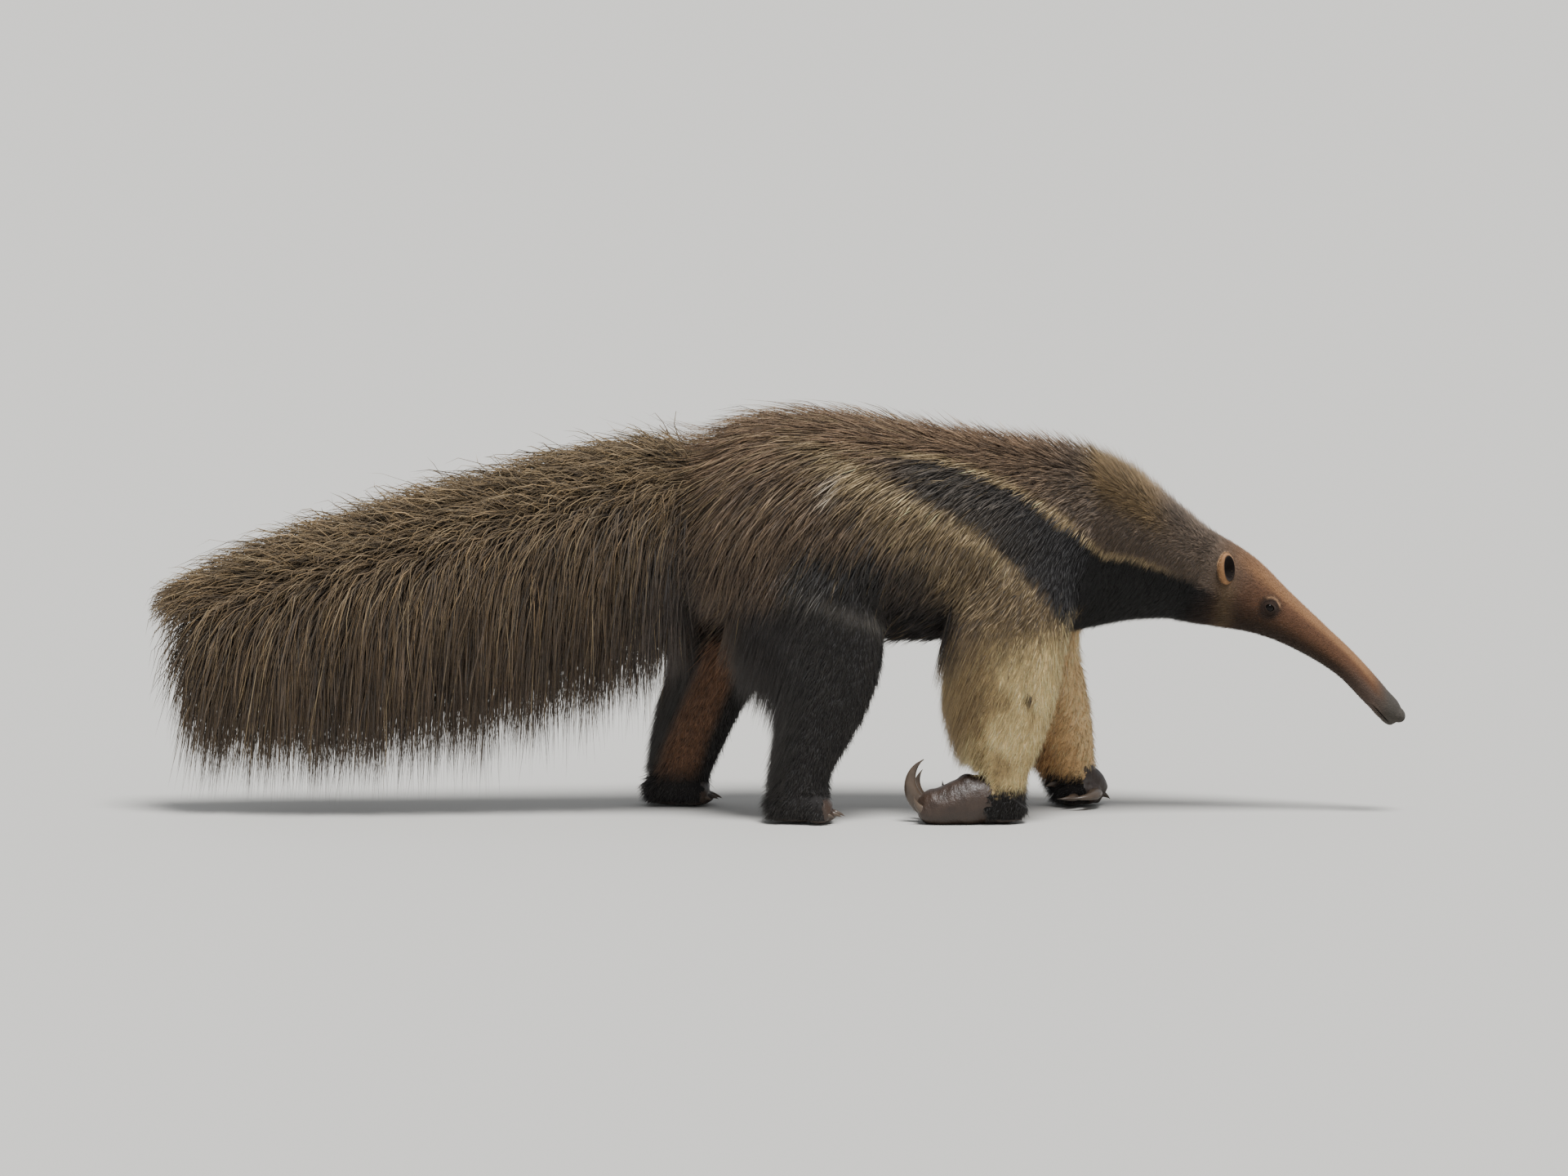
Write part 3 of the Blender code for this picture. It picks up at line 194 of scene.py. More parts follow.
def knobs(*rows):
    """Pads and fingers, each with its centre and its three radii."""
    return tuple((Vector(row[:3]), row[3:]) for row in rows)


# The right hand trails, bent back at the wrist; its rows run backwards, so that up in them is down.
# The left hand is set down on its knuckles.
HANDS = {
    RIGHT: (profile(
        (0.372, -0.114, 0.045, 0.034, 0.036, 0.036),
        (0.362, -0.114, 0.034, 0.033, 0.034, 0.040),
        (0.322, -0.116, 0.036, 0.037, 0.038, 0.042),
        (0.300, -0.118, 0.034, 0.037, 0.040, 0.040),
        (0.276, -0.119, 0.028, 0.036, 0.033, 0.036),
        (0.254, -0.119, 0.025, 0.034, 0.031, 0.031),
        (0.236, -0.119, 0.024, 0.027, 0.025, 0.028),
        (0.224, -0.118, 0.024, 0.014, 0.013, 0.015),
    ), 16, knobs(
        (0.302, -0.116, 0.060, 0.019, 0.026, 0.019),
        (0.245, -0.104, 0.026, 0.026, 0.019, 0.023),
        (0.256, -0.080, 0.024, 0.030, 0.016, 0.020),
        (0.248, -0.136, 0.020, 0.024, 0.014, 0.018),
        (0.290, -0.082, 0.034, 0.024, 0.012, 0.014),
    )),
    LEFT: (profile(
        (0.444, 0.110, 0.032, 0.024, 0.026, 0.032),
        (0.466, 0.112, 0.037, 0.034, 0.034, 0.037),
        (0.494, 0.112, 0.033, 0.036, 0.034, 0.033),
        (0.514, 0.112, 0.025, 0.030, 0.025, 0.025),
        (0.526, 0.112, 0.018, 0.016, 0.013, 0.018),
    ), 12, knobs(
        (0.497, 0.086, 0.024, 0.024, 0.018, 0.020),
        (0.474, 0.078, 0.020, 0.024, 0.014, 0.016),
    )),
}

# Each claw's root, heading, bend in degrees, length, radius and the line that it curls about
LATERAL, UPWARD = (0, 1, 0), (0, 0, 1)
CLAWS = (
    ("claw_right_3", (0.237, -0.106, 0.024), (-1, 0, 0.55), 125, 0.094, 0.0150, LATERAL),
    ("claw_right_2", (0.246, -0.079, 0.024), (-1, 0.10, 0.45), 110, 0.068, 0.0110, LATERAL),
    ("claw_right_4", (0.240, -0.138, 0.020), (-1, -0.12, 0.25), 75, 0.038, 0.0080, LATERAL),
    ("claw_right_1", (0.280, -0.076, 0.036), (-1, 0.35, 0.45), 70, 0.034, 0.0060, LATERAL),
    ("claw_left_3", (0.508, 0.082, 0.024), (0.25, -1, -0.05), -112, 0.080, 0.0130, UPWARD),
    ("claw_left_2", (0.476, 0.074, 0.018), (0.05, -1, 0.0), -95, 0.045, 0.0095, UPWARD),
    ("claw_left_4", (0.512, 0.118, 0.018), (1, 0.25, 0.05), 55, 0.028, 0.0075, LATERAL),
    ("claw_left_1", (0.452, 0.088, 0.036), (-1, -0.4, 0.2), -40, 0.024, 0.0055, LATERAL),
)
CLAW_SIDES, CLAW_RINGS = 20, 16
CLAW_FLATNESS = 0.72

# The tail's outline at the tips of its hair: places along the tail, lowest and highest tips
TAIL_X = (-1.000, -0.965, -0.925, -0.870, -0.660, -0.550, -0.400, -0.300, -0.170, -0.100)
TAIL_LOW = (0.215, 0.120, 0.055, 0.048, 0.050, 0.070, 0.116, 0.150, 0.222, 0.260)
TAIL_HIGH = (0.300, 0.348, 0.390, 0.410, 0.487, 0.513, 0.557, 0.577, 0.606, 0.626)

# Lines on the flank in side view: x, and height less the lean of the photo's view
VIEW_LEAN = 0.105
UPPER_LINE_X = (0.140, 0.1807, 0.2327, 0.2977, 0.3757, 0.4407, 0.5187, 0.5577, 0.6357, 0.700)
UPPER_LINE_Z = (0.572, 0.5712, 0.5686, 0.5516, 0.5189, 0.4731, 0.4117, 0.4078, 0.3816, 0.352)
LOWER_LINE_X = (0.040, 0.0637, 0.1417, 0.2197, 0.2977, 0.3757, 0.4277, 0.4602, 0.480)
LOWER_LINE_Z = (0.603, 0.5973, 0.5581, 0.5058, 0.4666, 0.4012, 0.3359, 0.2902, 0.240)

# The trunk's coat at places along it: hair length at the ridge, high on the side, on the flank and under the
# belly, then the height of the tips over the skin at the same four
COAT_X = (-0.13, 0.0, 0.12, 0.22, 0.32, 0.42, 0.50, 0.58, 0.66, 0.72)
COAT_LEAN = (8, 45, 90, 150)
COAT_LENGTH = (
    (0.150, 0.160, 0.145, 0.120, 0.085, 0.062, 0.060, 0.045, 0.026, 0.014),
    (0.150, 0.140, 0.100, 0.065, 0.044, 0.035, 0.028, 0.022, 0.017, 0.011),
    (0.150, 0.110, 0.072, 0.050, 0.038, 0.030, 0.024, 0.019, 0.015, 0.010),
    (0.070, 0.070, 0.060, 0.048, 0.036, 0.028, 0.022, 0.018, 0.014, 0.009),
)
COAT_RISE = (
    (0.098, 0.062, 0.042, 0.036, 0.032, 0.032, 0.036, 0.029, 0.014, 0.005),
    (0.034, 0.026, 0.020, 0.016, 0.013, 0.012, 0.011, 0.009, 0.007, 0.004),
    (0.028, 0.018, 0.014, 0.011, 0.009, 0.008, 0.008, 0.007, 0.006, 0.004),
    (0.018, 0.018, 0.016, 0.014, 0.011, 0.009, 0.008, 0.007, 0.006, 0.004),
)

# Coats of the trunk and neck: name, region, degrees round from the ridge, tufts, width, slot and rings
TRUNK_COATS = (
    ("coat_back", "torso", 0, 60, 11500, 0.0016, "coat_grizzled", 4),
    ("coat_flank", "torso", 60, 181, 18400, 0.0015, "coat_grizzled", 3),
    ("coat_neck", "neck", 0, 181, 42000, 0.0017, "coat_neck", 2),
)

# The tail's coats, by degrees round from its ridge
TAIL_COATS = (("coat_tail_crest", 0, 55), ("coat_tail_side", 55, 110), ("coat_tail_curtain", 110, 181))
TAIL_TUFTS, TAIL_WIDTH, TAIL_RINGS = 7600, 0.0018, 5

# For each leg, its tufts, their width, and how low the coat of the trunk runs over it
LEG_COATS = {
    ("foreleg", RIGHT): (22000, 0.0015, 0.335),
    ("foreleg", LEFT): (17000, 0.0015, 0.335),
    ("hindleg", RIGHT): (21000, 0.0016, 0.385),
    ("hindleg", LEFT): (17000, 0.0016, 0.360),
}
HEAD_TUFTS, EAR_TUFTS = 30000, 700

# How deep tufts are rooted, and the share of its way back that a tip past the solids' box is drawn
ROOT_DEPTH = 0.0015
STRAY = 0.7

# The side of a tuft's own patch on the unwrap
PATCH = 0.003

# What the sun's warm light adds to red, green and blue
SUN_GAIN = (1.18, 1.13, 1.0)

VIEW_WIDTH = 2.496
VIEW_DISTANCE = 15.0
VIEW_TARGET = Vector((0.0117, 0, 0.3621))
ELEVATION = math.radians(6)
SENSOR_WIDTH = 36
SUN_POWER, SUN_SPREAD, SUN_HEADING = 5.8, math.radians(22), Vector((-0.15, 0.36, -1.0))
SKY_COLOUR, SKY_STRENGTH = (0.93, 0.96, 1.0, 1), 0.58


# Names and measures ------------------------------------------------------------

def sided(stem, side):
    return f"{stem}_{SIDE_NAMES[side]}"


def mirror(place, side):
    """A place or direction given for the left, on either side."""
    x, y, z = place
    return x, side * y, z


def folded(points):
    """Points with the right side's laid over the left's."""
    return np.stack([points[:, 0], np.abs(points[:, 1]), points[:, 2]], axis=1)


def blend(low, high, value):
    """0 below low, 1 above high and a smooth step between them, either way round."""
    t = np.clip((value - low) / (high - low), 0, 1)
    return t * t * (3 - 2 * t)


def patches(points, size):
    """A smooth, patchy value from -1 to 1, with patches of about the given size."""
    return np.array([noise.noise(point) for point in (points / size).tolist()])


def unit(vectors):
    return vectors / np.maximum(1e-9, np.linalg.norm(vectors, axis=-1))[..., None]


def read(items, label, kind=float, wide=3):
    """One property of all of a mesh's items, as a table."""
    values = np.empty(len(items) * wide, dtype=kind)
    items.foreach_get(label, values)
    return values.reshape(-1, wide)


def set_colour(mesh, label, values):
    filled = np.ones((len(values), 4), dtype=np.float32)
    filled[:, :3] = values
    layer = mesh.attributes.new(label, "FLOAT_COLOR", "POINT")
    layer.data.foreach_set("color", filled.reshape(-1))


def set_value(mesh, label, values):
    layer = mesh.attributes.new(label, "FLOAT", "POINT")
    layer.data.foreach_set("value", values.astype(np.float32))


def read_off(rows, places, by, wanted):
    """One size of a table of sections, read off at places along another."""
    return np.interp(places, [getattr(s, by) for s in rows], [getattr(s, wanted) for s in rows])


def tail_middle(x):
    return read_off(TAIL[::-1], x, "x", "z")


def leg_middle(key, z, axis):
    return read_off(LEGS[key][::-1], z, "z", axis)


def lean_of(points, height):
    """Degrees round a form from its ridge; height is that of its middle line."""
    return np.degrees(np.arctan2(np.abs(points[:, 1]), points[:, 2] - height))


def trunk_lean(points):
    return lean_of(points, read_off(SPINE, points[:, 0], "x", "z"))


# Colour and finish -------------------------------------------------------------

def linear(code):
    """A colour's sRGB hex value turned to linear."""
    channels = [int(code[i:i + 2], 16) / 255 for i in (0, 2, 4)]
    return [c / 12.92 if c < 0.04045 else ((c + 0.055) / 1.055) ** 2.4 for c in channels]


def give(tree, socket, value):
    """Feeds a socket from another, from a colour's hex value or from a number."""
    if isinstance(value, bpy.types.NodeSocket):
        tree.links.new(value, socket)
    else:
        socket.default_value = (*linear(value), 1) if isinstance(value, str) else value


def node(tree, kind, output, **settings):
    """Adds a node, sets its properties and sockets, and returns one of its outputs."""
    made = tree.nodes.new(kind)
    for name, value in settings.items():
        if hasattr(made, name):
            setattr(made, name, value)
        else:
            give(tree, made.inputs[name.replace("_", " ")], value)
    return made.outputs[output]


def new_material(name, **settings):
    """A material, its nodes, and a function that feeds its shader."""
    made = bpy.data.materials.new(name)
    made.use_nodes = True
    shader = made.node_tree.nodes["Principled BSDF"]

    def feed(**sockets):
        for socket, value in sockets.items():
            give(made.node_tree, shader.inputs[socket.replace("_", " ")], value)
    feed(**settings)
    return made, made.node_tree, feed


def attribute(tree, label, output="Fac"):
    return node(tree, "ShaderNodeAttribute", output, attribute_name=label)


def place_on(tree, **mapping):
    """Object coordinates, turned and stretched where that is asked for."""
    place = node(tree, "ShaderNodeTexCoord", "Object")
    return node(tree, "ShaderNodeMapping", "Vector", Vector=place, **mapping) if mapping else place


def grain(tree, place, scale, detail, **settings):
    return node(tree, "ShaderNodeTexNoise", "Fac", Vector=place, Scale=scale, Detail=detail, **settings)


def reckon(tree, operation, *values):
    made = tree.nodes.new("ShaderNodeMath")
    made.operation = operation
    for socket, value in zip(made.inputs, values):
        give(tree, socket, value)
    return made.outputs[0]


def mix(tree, factor, first, second, way="MIX"):
    return node(tree, "ShaderNodeMix", "Result", data_type="RGBA", blend_type=way, Factor=factor, A=first,
                B=second)


def bump(tree, height, strength, distance, **under):
    """A bump in the surface, over another where one is given as its Normal."""
    return node(tree, "ShaderNodeBump", "Normal", Height=height, Strength=strength, Distance=distance,
                **under)


def ramp(tree, source, stops):
    """A colour ramp with stops of place and linear grey."""
    colour = node(tree, "ShaderNodeValToRGB", "Color", Fac=source)
    elements = colour.node.color_ramp.elements
    while len(elements) < len(stops):
        elements.new(0.5)
    for element, (place, value) in zip(elements, stops):
        element.position = place
        element.color = (value, value, value, 1)
    return colour


def hair_material():
    """Keratin hair: matt in the mass, with a weak sheen along its length."""
    made, tree, feed = new_material("animal_hair", Roughness=0.62, IOR=1.55, Specular_IOR_Level=0.28,
                                    Sheen_Weight=0.10, Sheen_Roughness=0.5)
    # Bands of pigment along a hair, about 12 mm apart
    wander = reckon(tree, "MULTIPLY_ADD", grain(tree, place_on(tree), 80.0, 2.0), 0.5, -0.25)
    fade = ramp(tree, reckon(tree, "ADD", attribute(tree, "along"), wander), ((0.15, 0.0), (0.85, 1.0)))
    root, tip = (attribute(tree, end + "_colour", "Color") for end in ("root", "tip"))
    feed(Base_Color=mix(tree, fade, root, tip))
    return made


def skin_material():
    """Hide under short fur: matt, with a fine velvet nap that breaks the light."""
    made, tree, feed = new_material("short_fur_hide", Roughness=0.85, Specular_IOR_Level=0.15,
                                    Sheen_Weight=0.05, Sheen_Roughness=0.6)
    # Hairs lie along the snout, about 1 mm apart and 5 mm long
    along = place_on(tree, Rotation=(0, math.radians(-40), 0), Scale=(0.22, 1, 1))
    nap = grain(tree, along, 900.0, 3.0, Roughness=0.7)
    shade = ramp(tree, nap, ((0.30, 0.60), (0.70, 1.30)))
    feed(Base_Color=mix(tree, 1.0, attribute(tree, "hide_colour", "Color"), shade, "MULTIPLY"))
    # Creases ring the eyes, about 3 mm apart
    gap = attribute(tree, "eye_gap")
    wave = reckon(tree, "SINE", reckon(tree, "MULTIPLY", gap, 2 * math.pi / 0.003))
    near = node(tree, "ShaderNodeMapRange", "Result", Value=gap, From_Min=0.012, From_Max=0.026, To_Min=1.0,
                To_Max=0.0)
    creases = reckon(tree, "MULTIPLY", wave, near)
    feed(Normal=bump(tree, creases, 0.4, 0.0006, Normal=bump(tree, nap, 0.5, 0.001)))
    return made


def leather_material():
    """Bare hand and foot skin: thick hide, creased and slightly greasy, with pads about 3 mm across."""
    made, tree, feed = new_material("creased_hide", Roughness=0.42, Specular_IOR_Level=0.5)
    cells = node(tree, "ShaderNodeTexVoronoi", "Distance", Vector=place_on(tree), Scale=330.0,
                 feature="DISTANCE_TO_EDGE")
    creases = bump(tree, ramp(tree, cells, ((0.0, 0.0), (0.12, 1.0))), 0.35, 0.0006)
    blotch = grain(tree, place_on(tree), 45.0, 4.0)
    swell = bump(tree, blotch, 0.4, 0.003, Normal=creases)
    # Folds run across the hand, about 9 mm apart
    folds = grain(tree, place_on(tree, Scale=(1, 0.25, 0.45)), 110.0, 3.0)
    feed(Base_Color=mix(tree, blotch, "1d1510", "46352a"), Normal=bump(tree, folds, 0.7, 0.004, Normal=swell))
    return made


def horn_material():
    """Claw horn: smooth keratin with growth lines about 1.5 mm apart, mottled dark and paler."""
    made, tree, feed = new_material("claw_horn", Roughness=0.34, IOR=1.55)
    growth = node(tree, "ShaderNodeTexWave", "Fac", Vector=place_on(tree), Scale=100.0, Distortion=6.0,
                  Detail=3.0)
    feed(Base_Color=mix(tree, grain(tree, place_on(tree), 60.0, 4.0), "241c17", "665647"),
         Normal=bump(tree, growth, 0.15, 0.0005))
    return made


def eye_material():
    """A wet eye: nearly black iris and pupil under a clear, glossy surface."""
    made, tree, feed = new_material("wet_eye", Roughness=0.10, IOR=1.38, Specular_IOR_Level=0.30)
    feed(Base_Color=mix(tree, grain(tree, place_on(tree), 500.0, 2.0), "030202", "0e0906"))
    return made


# Modelling by hand -------------------------------------------------------------

def nothing_selected():
    if bpy.context.mode != "OBJECT":
        bpy.ops.object.mode_set(mode="OBJECT")
    bpy.ops.object.select_all(action="DESELECT")


def only(piece):
    nothing_selected()
    piece.select_set(True)
    bpy.context.view_layer.objects.active = piece


def called(piece, name):
    piece.name = name
    piece.data.name = name
    return piece


def settle(piece, name):
    """Puts the piece's place in its mesh and names it."""
    only(piece)
    bpy.ops.object.transform_apply(location=True, rotation=True, scale=True)
    return called(piece, name)


def modify(piece, kind, **settings):
    """Adds a modifier and applies it."""
    only(piece)
    added = piece.modifiers.new(kind.lower(), kind)
    for name, value in settings.items():
        setattr(added, name, value)
    bpy.ops.object.modifier_apply(modifier=added.name)


def join(pieces, name):
    only(pieces[0])
    for piece in pieces:
        piece.select_set(True)
    if len(pieces) > 1:
        bpy.ops.object.join()
    return called(bpy.context.view_layer.objects.active, name)


def ball(name, centre, radii, turn=None, around=24):
    """A sphere drawn out to an ellipsoid and turned about its own centre."""
    nothing_selected()
    angles = (turn or Matrix.Identity(4)).to_euler()
    bpy.ops.mesh.primitive_uv_sphere_add(segments=around, ring_count=around // 2, radius=1, location=centre,
                                         rotation=angles, scale=radii)
    return settle(bpy.context.object, name)


def balls(turn, *forms):
    """Balls with one turn, each with its name, centre, radii and perhaps its number of sides."""
    return [ball(name, centre, radii, turn, *around) for name, centre, radii, *around in forms]


def smooth_rows(sections, count):
    """Rows of section sizes, spaced along a Catmull-Rom curve through the sections."""
    rows = np.array([list(s) for s in sections], float)
    steps = np.linalg.norm(np.diff(rows[:, :3], axis=0), axis=1)
    along = np.concatenate([[0], np.cumsum(steps)])
    slopes = np.gradient(rows, along, axis=0)
    places = np.linspace(0, along[-1], count)
    index = np.clip(np.searchsorted(along, places, side="right") - 1, 0, len(steps) - 1)
    span = steps[index][:, None]
    t = (places - along[index])[:, None] / span
    start, end = rows[index], rows[index + 1]
    m0, m1 = slopes[index] * span, slopes[index + 1] * span
    return ((2 * t**3 - 3 * t**2 + 1) * start + (t**3 - 2 * t**2 + t) * m0
            + (3 * t**2 - 2 * t**3) * end + (t**3 - t**2) * m1)


def tube(name, rows, sides, inset=0.0):
    """A closed tube: a disc, extruded ring by ring, each ring turned and resized in place."""
    count = len(rows)
    pitches, centres, sizes = [], [], []
    for i, (x, y, z, wide, up, down) in enumerate(rows):
        ahead = rows[min(i + 1, count - 1)][:3] - rows[max(i - 1, 0)][:3]
        pitch = math.atan2(ahead[2], ahead[0])
        shift = (up - down) / 2
        centres.append(Vector((x - math.sin(pitch) * shift, y, z + math.cos(pitch) * shift)))
        pitches.append(pitch)
        sizes.append((wide - inset, (up + down) / 2 - inset))
    nothing_selected()
    bpy.ops.mesh.primitive_circle_add(vertices=sides, radius=1, fill_type="NGON", location=centres[0],
                                      rotation=(0, math.pi / 2, 0))
    piece = settle(bpy.context.object, name)
    bpy.ops.object.mode_set(mode="EDIT")
    bpy.ops.mesh.select_all(action="SELECT")
    wide, high = 1.0, 1.0
    for i, centre in enumerate(centres):
        turn = dict(orient_axis="Y", center_override=centre)
        if i:
            bpy.ops.mesh.extrude_region_move(TRANSFORM_OT_translate={"value": centre - centres[i - 1]})
            bpy.ops.transform.rotate(value=-pitches[i - 1], **turn)
        ratio = (1, sizes[i][0] / wide, sizes[i][1] / high)
        bpy.ops.transform.resize(value=ratio, center_override=centre)
        bpy.ops.transform.rotate(value=pitches[i], **turn)
        wide, high = sizes[i]
    bpy.ops.object.mode_set(mode="OBJECT")
    return piece


def melt(piece, voxel, rounds):
    """Melts what overlaps in a piece into one surface and relaxes it."""
    modify(piece, "REMESH", mode="VOXEL", voxel_size=voxel)
    modify(piece, "SMOOTH", iterations=rounds)


def merge(pieces, name, voxel, rounds):
    body = join(pieces, name)
    melt(body, voxel, rounds)
    return body


def thin(piece, share):
    """Keeps only a share of a piece's triangles, where it is flattest."""
    modify(piece, "DECIMATE", ratio=share)


def carve(body, cutters):
    """Cuts hollows with closed pieces and removes the pieces."""
    tool = join(cutters, "cutter")
    modify(body, "BOOLEAN", operation="DIFFERENCE", solver="EXACT", use_self=True, object=tool)
    bpy.data.objects.remove(tool)


def oriented(forward, up):
    """A turn that takes X to forward and Z to up."""
    return Matrix((forward, up.cross(forward), up)).transposed().to_4x4()


def snout_frame(x):
    """A point on the head's middle line, its forward and upward directions, and the turn to them."""
    rows = smooth_rows(SPINE, 240)
    index = int(np.argmin(abs(rows[:, 0] - x)))
    forward = Vector(rows[min(index + 1, len(rows) - 1), :3] - rows[index - 1, :3]).normalized()
    up = forward.cross(Vector((0, 1, 0))).normalized()
    return Vector(rows[index, :3]), forward, up, oriented(forward, up)


def sunk(rows, edge, run, depth):
    """Rows that shrink by a depth over a run past an edge, to end inside their neighbour."""
    rows[:, 3:] -= (np.clip((rows[:, 0] - edge) / run, 0, 1) * depth)[:, None]
    return rows


# Skin --------------------------------------------------------------------------

def eye_place(side):
    return Vector(mirror(EYE_CENTRE, side))


def make_body():
    """Trunk, tail core and legs melted into one surface."""
    rows = smooth_rows(SPINE, 110)
    rows = sunk(rows[rows[:, 0] < 0.705], 0.655, 0.05, 0.012)
    pieces = [tube("trunk", rows, 40, BODY_INSET), tube("tail_core", smooth_rows(TAIL, 34), 24, BODY_INSET)]
    pieces += [tube("leg", smooth_rows(leg, 24), 24, LEG_INSET) for leg in LEGS.values()]
    body = merge(pieces, "skin_body", BODY_VOXEL, 6)
    thin(body, BODY_SHARE)
    return body


def make_head():
    """The long head with its brow, lids, lips, mouth and nostrils."""
    rows = smooth_rows(SPINE, 170)
    rows = sunk(rows[rows[:, 0] > 0.618], 0.690, -0.06, 0.010)
    pieces = [tube("head", rows, 48, HEAD_INSET)]
    cutters = []
    _, forward, up, turn = snout_frame(EYE_CENTRE.x)
    for side in (RIGHT, LEFT):
        centre, out = eye_place(side), Vector((0, side, 0))
        pieces += balls(
            turn,
            ("lids", centre - out * 0.0006, (0.0122, 0.0101, 0.0102), 32),
            ("brow", centre + up * 0.0100 - forward * 0.001 - out * 0.0030, (0.0160, 0.0070, 0.0042)),
            ("lower_fold", centre - up * 0.0098 - forward * 0.001 - out * 0.0036, (0.0130, 0.0066, 0.0030)),
            ("corner", centre + forward * 0.0125 - up * 0.001 - out * 0.0040, (0.0060, 0.0060, 0.0040)))
        cutters += balls(
            turn,
            ("socket", centre, (EYE_RADIUS + GAP,) * 3, 32),
            ("opening", centre + out * 0.010 + up * 0.0005, (0.0082, 0.0080, 0.0056), 32))
    nose, forward, up, nose_turn = snout_frame(0.984)
    pad = nose + up * 0.0050 + forward * 0.0035
    pieces += balls(
        nose_turn,
        ("nose_pad", pad, (0.0140, 0.0150, 0.0118), 32),
        ("lower_lip", nose - up * 0.0115 - forward * 0.006, (0.0155, 0.0118, 0.0080), 32))
    nostril = pad + forward * 0.0110 + up * 0.001
    middle, forward, up, turn = snout_frame(0.958)
    for side in (RIGHT, LEFT):
        out = Vector((0, side, 0))
        pieces += balls(turn, ("upper_lip", middle - up * 0.0105 + out * 0.0122, (0.0300, 0.0058, 0.0052)))
        cutters += balls(nose_turn, ("nostril", nostril + out * 0.0068, (0.0062, 0.0023, 0.0040)))
        slit = middle - up * 0.0130 + forward * 0.026 + out * 0.0165
        cutters += balls(turn, ("mouth", slit, (0.0280, 0.0080, 0.0011), 40))
    head = merge(pieces, "skin_head", HEAD_VOXEL, 6)
    carve(head, cutters)
    thin(head, HEAD_SHARE)
    return head


def make_paw(name, rows, count, key, pads):
    """A hand or foot: a tube through its rows, the end of its leg and its pads or toes, melted into one."""
    pieces = [tube("palm", smooth_rows(rows, count), 24),
              tube("wrist", smooth_rows(LEGS[key][5:], 8), 24, WRIST_INSET)]
    pieces += [ball("pad", centre, radii) for centre, radii in pads]
    return merge(pieces, name, HAND_VOXEL, 4)


def toes_of(side):
    """The five toes of a hind foot: how far each stands out to the left of the middle one, and its middle."""
    heel = LEGS["hindleg", side][6]
    for spread in (-1, -0.5, 0, 0.5, 1):
        x = heel.x + 0.038 - 0.012 * spread**2
        yield spread, Vector((x, heel.y + side * 0.004 + 0.031 * spread, 0.014))


def make_hind_foot(side):
    """A flat-soled hind foot with five toes."""
    x, y, *_ = LEGS["hindleg", side][6]
    sole = profile(
        (x - 0.050, y, 0.022, 0.022, 0.018, 0.020),
        (x - 0.026, y, 0.028, 0.032, 0.027, 0.027),
        (x + 0.006, y + side * 0.002, 0.028, 0.038, 0.029, 0.027),
        (x + 0.030, y + side * 0.004, 0.021, 0.041, 0.024, 0.021),
        (x + 0.044, y + side * 0.004, 0.016, 0.034, 0.016, 0.016),
    )
    toes = [(toe, (0.018, 0.0085, 0.0115)) for _, toe in toes_of(side)]
    return make_paw(sided("skin_foot", side), sole, 12, ("hindleg", side), toes)


def flatten_soles(body):
    """Lets nothing pass below the ground."""
    points = read(body.data.vertices, "co")
    points[:, 2] = np.maximum(points[:, 2], 0.0004)
    body.data.vertices.foreach_set("co", points.reshape(-1))


def ear_place(side):
    """The middle of an ear and the turn that takes X to its opening and Z to its tip."""
    up = Vector(mirror(EAR_UP, side)).normalized()
    facing = Vector(mirror(EAR_FACING, side)).normalized()
    facing = (facing - up * facing.dot(up)).normalized()
    return Vector(mirror(EAR_FOOT, side)) + up * 0.025, oriented(facing, up)


def cup_reach(points):
    """How far out in an ear's hollow each point lies: 0 is its middle and 1 its edge."""
    middle, turn = ear_place(LEFT)
    local = np.array(turn.inverted() @ Matrix.Translation(-middle))
    inside = folded(points) @ local[:3, :3].T + local[:3, 3]
    return np.linalg.norm((inside - HOLLOW_SHIFT) / EAR_HOLLOW, axis=1)


def ear(side):
    """A rounded ear cup that opens outwards and forwards, with a rolled rim."""
    middle, turn = ear_place(side)
    shell = ball(sided("ear", side) + "_cup", middle, EAR_SHELL, turn, 40)
    carve(shell, [ball("hollow", middle + turn.to_3x3() @ Vector(HOLLOW_SHIFT), EAR_HOLLOW, turn, 36)])
    melt(shell, EAR_VOXEL, 5)
    bpy.ops.object.shade_smooth()
    depth = blend(1.20, 1.04, cup_reach(read(shell.data.vertices, "co")))[:, None]
    rim = np.array(linear("8f6a49")) * (1 - depth) + np.array(linear("1b1310")) * depth
    set_colour(shell.data, "hide_colour", rim)
    return shell


def mark_buried(pieces):
    """Marks the faces of each piece that lie inside another piece, where no hair grows."""
    places = [read(piece.data.vertices, "co") for piece in pieces]
    trees = [BVHTree.FromPolygons(points.tolist(), [face.vertices[:] for face in piece.data.polygons])
             for points, piece in zip(places, pieces)]
    for piece in pieces:
        middles = read(piece.data.polygons, "center")
        buried = np.zeros(len(middles), dtype=bool)
        for other, points, tree in zip(pieces, places, trees):
            if other is piece:
                continue
            near = np.all((middles > points.min(axis=0)) & (middles < points.max(axis=0)), axis=1)
            for index in np.flatnonzero(near & ~buried):
                middle = Vector(middles[index])
                spot, normal, _, _ = tree.find_nearest(middle)
                buried[index] = (middle - spot).dot(normal) < -GAP
        layer = piece.data.attributes.new("buried", "BOOLEAN", "FACE")
        layer.data.foreach_set("value", buried)


# Markings ----------------------------------------------------------------------

def painter(root, tip):
    """A function that lays a pair of root and tip colours over the others, as strongly as a mask says."""
    def paint(mask, root_code, tip_code):
        mask = np.clip(mask, 0, 1)[:, None]
        for colour, code in ((root, root_code), (tip, tip_code)):
            colour[:] = colour * (1 - mask) + np.array(linear(code)) * mask
    return paint


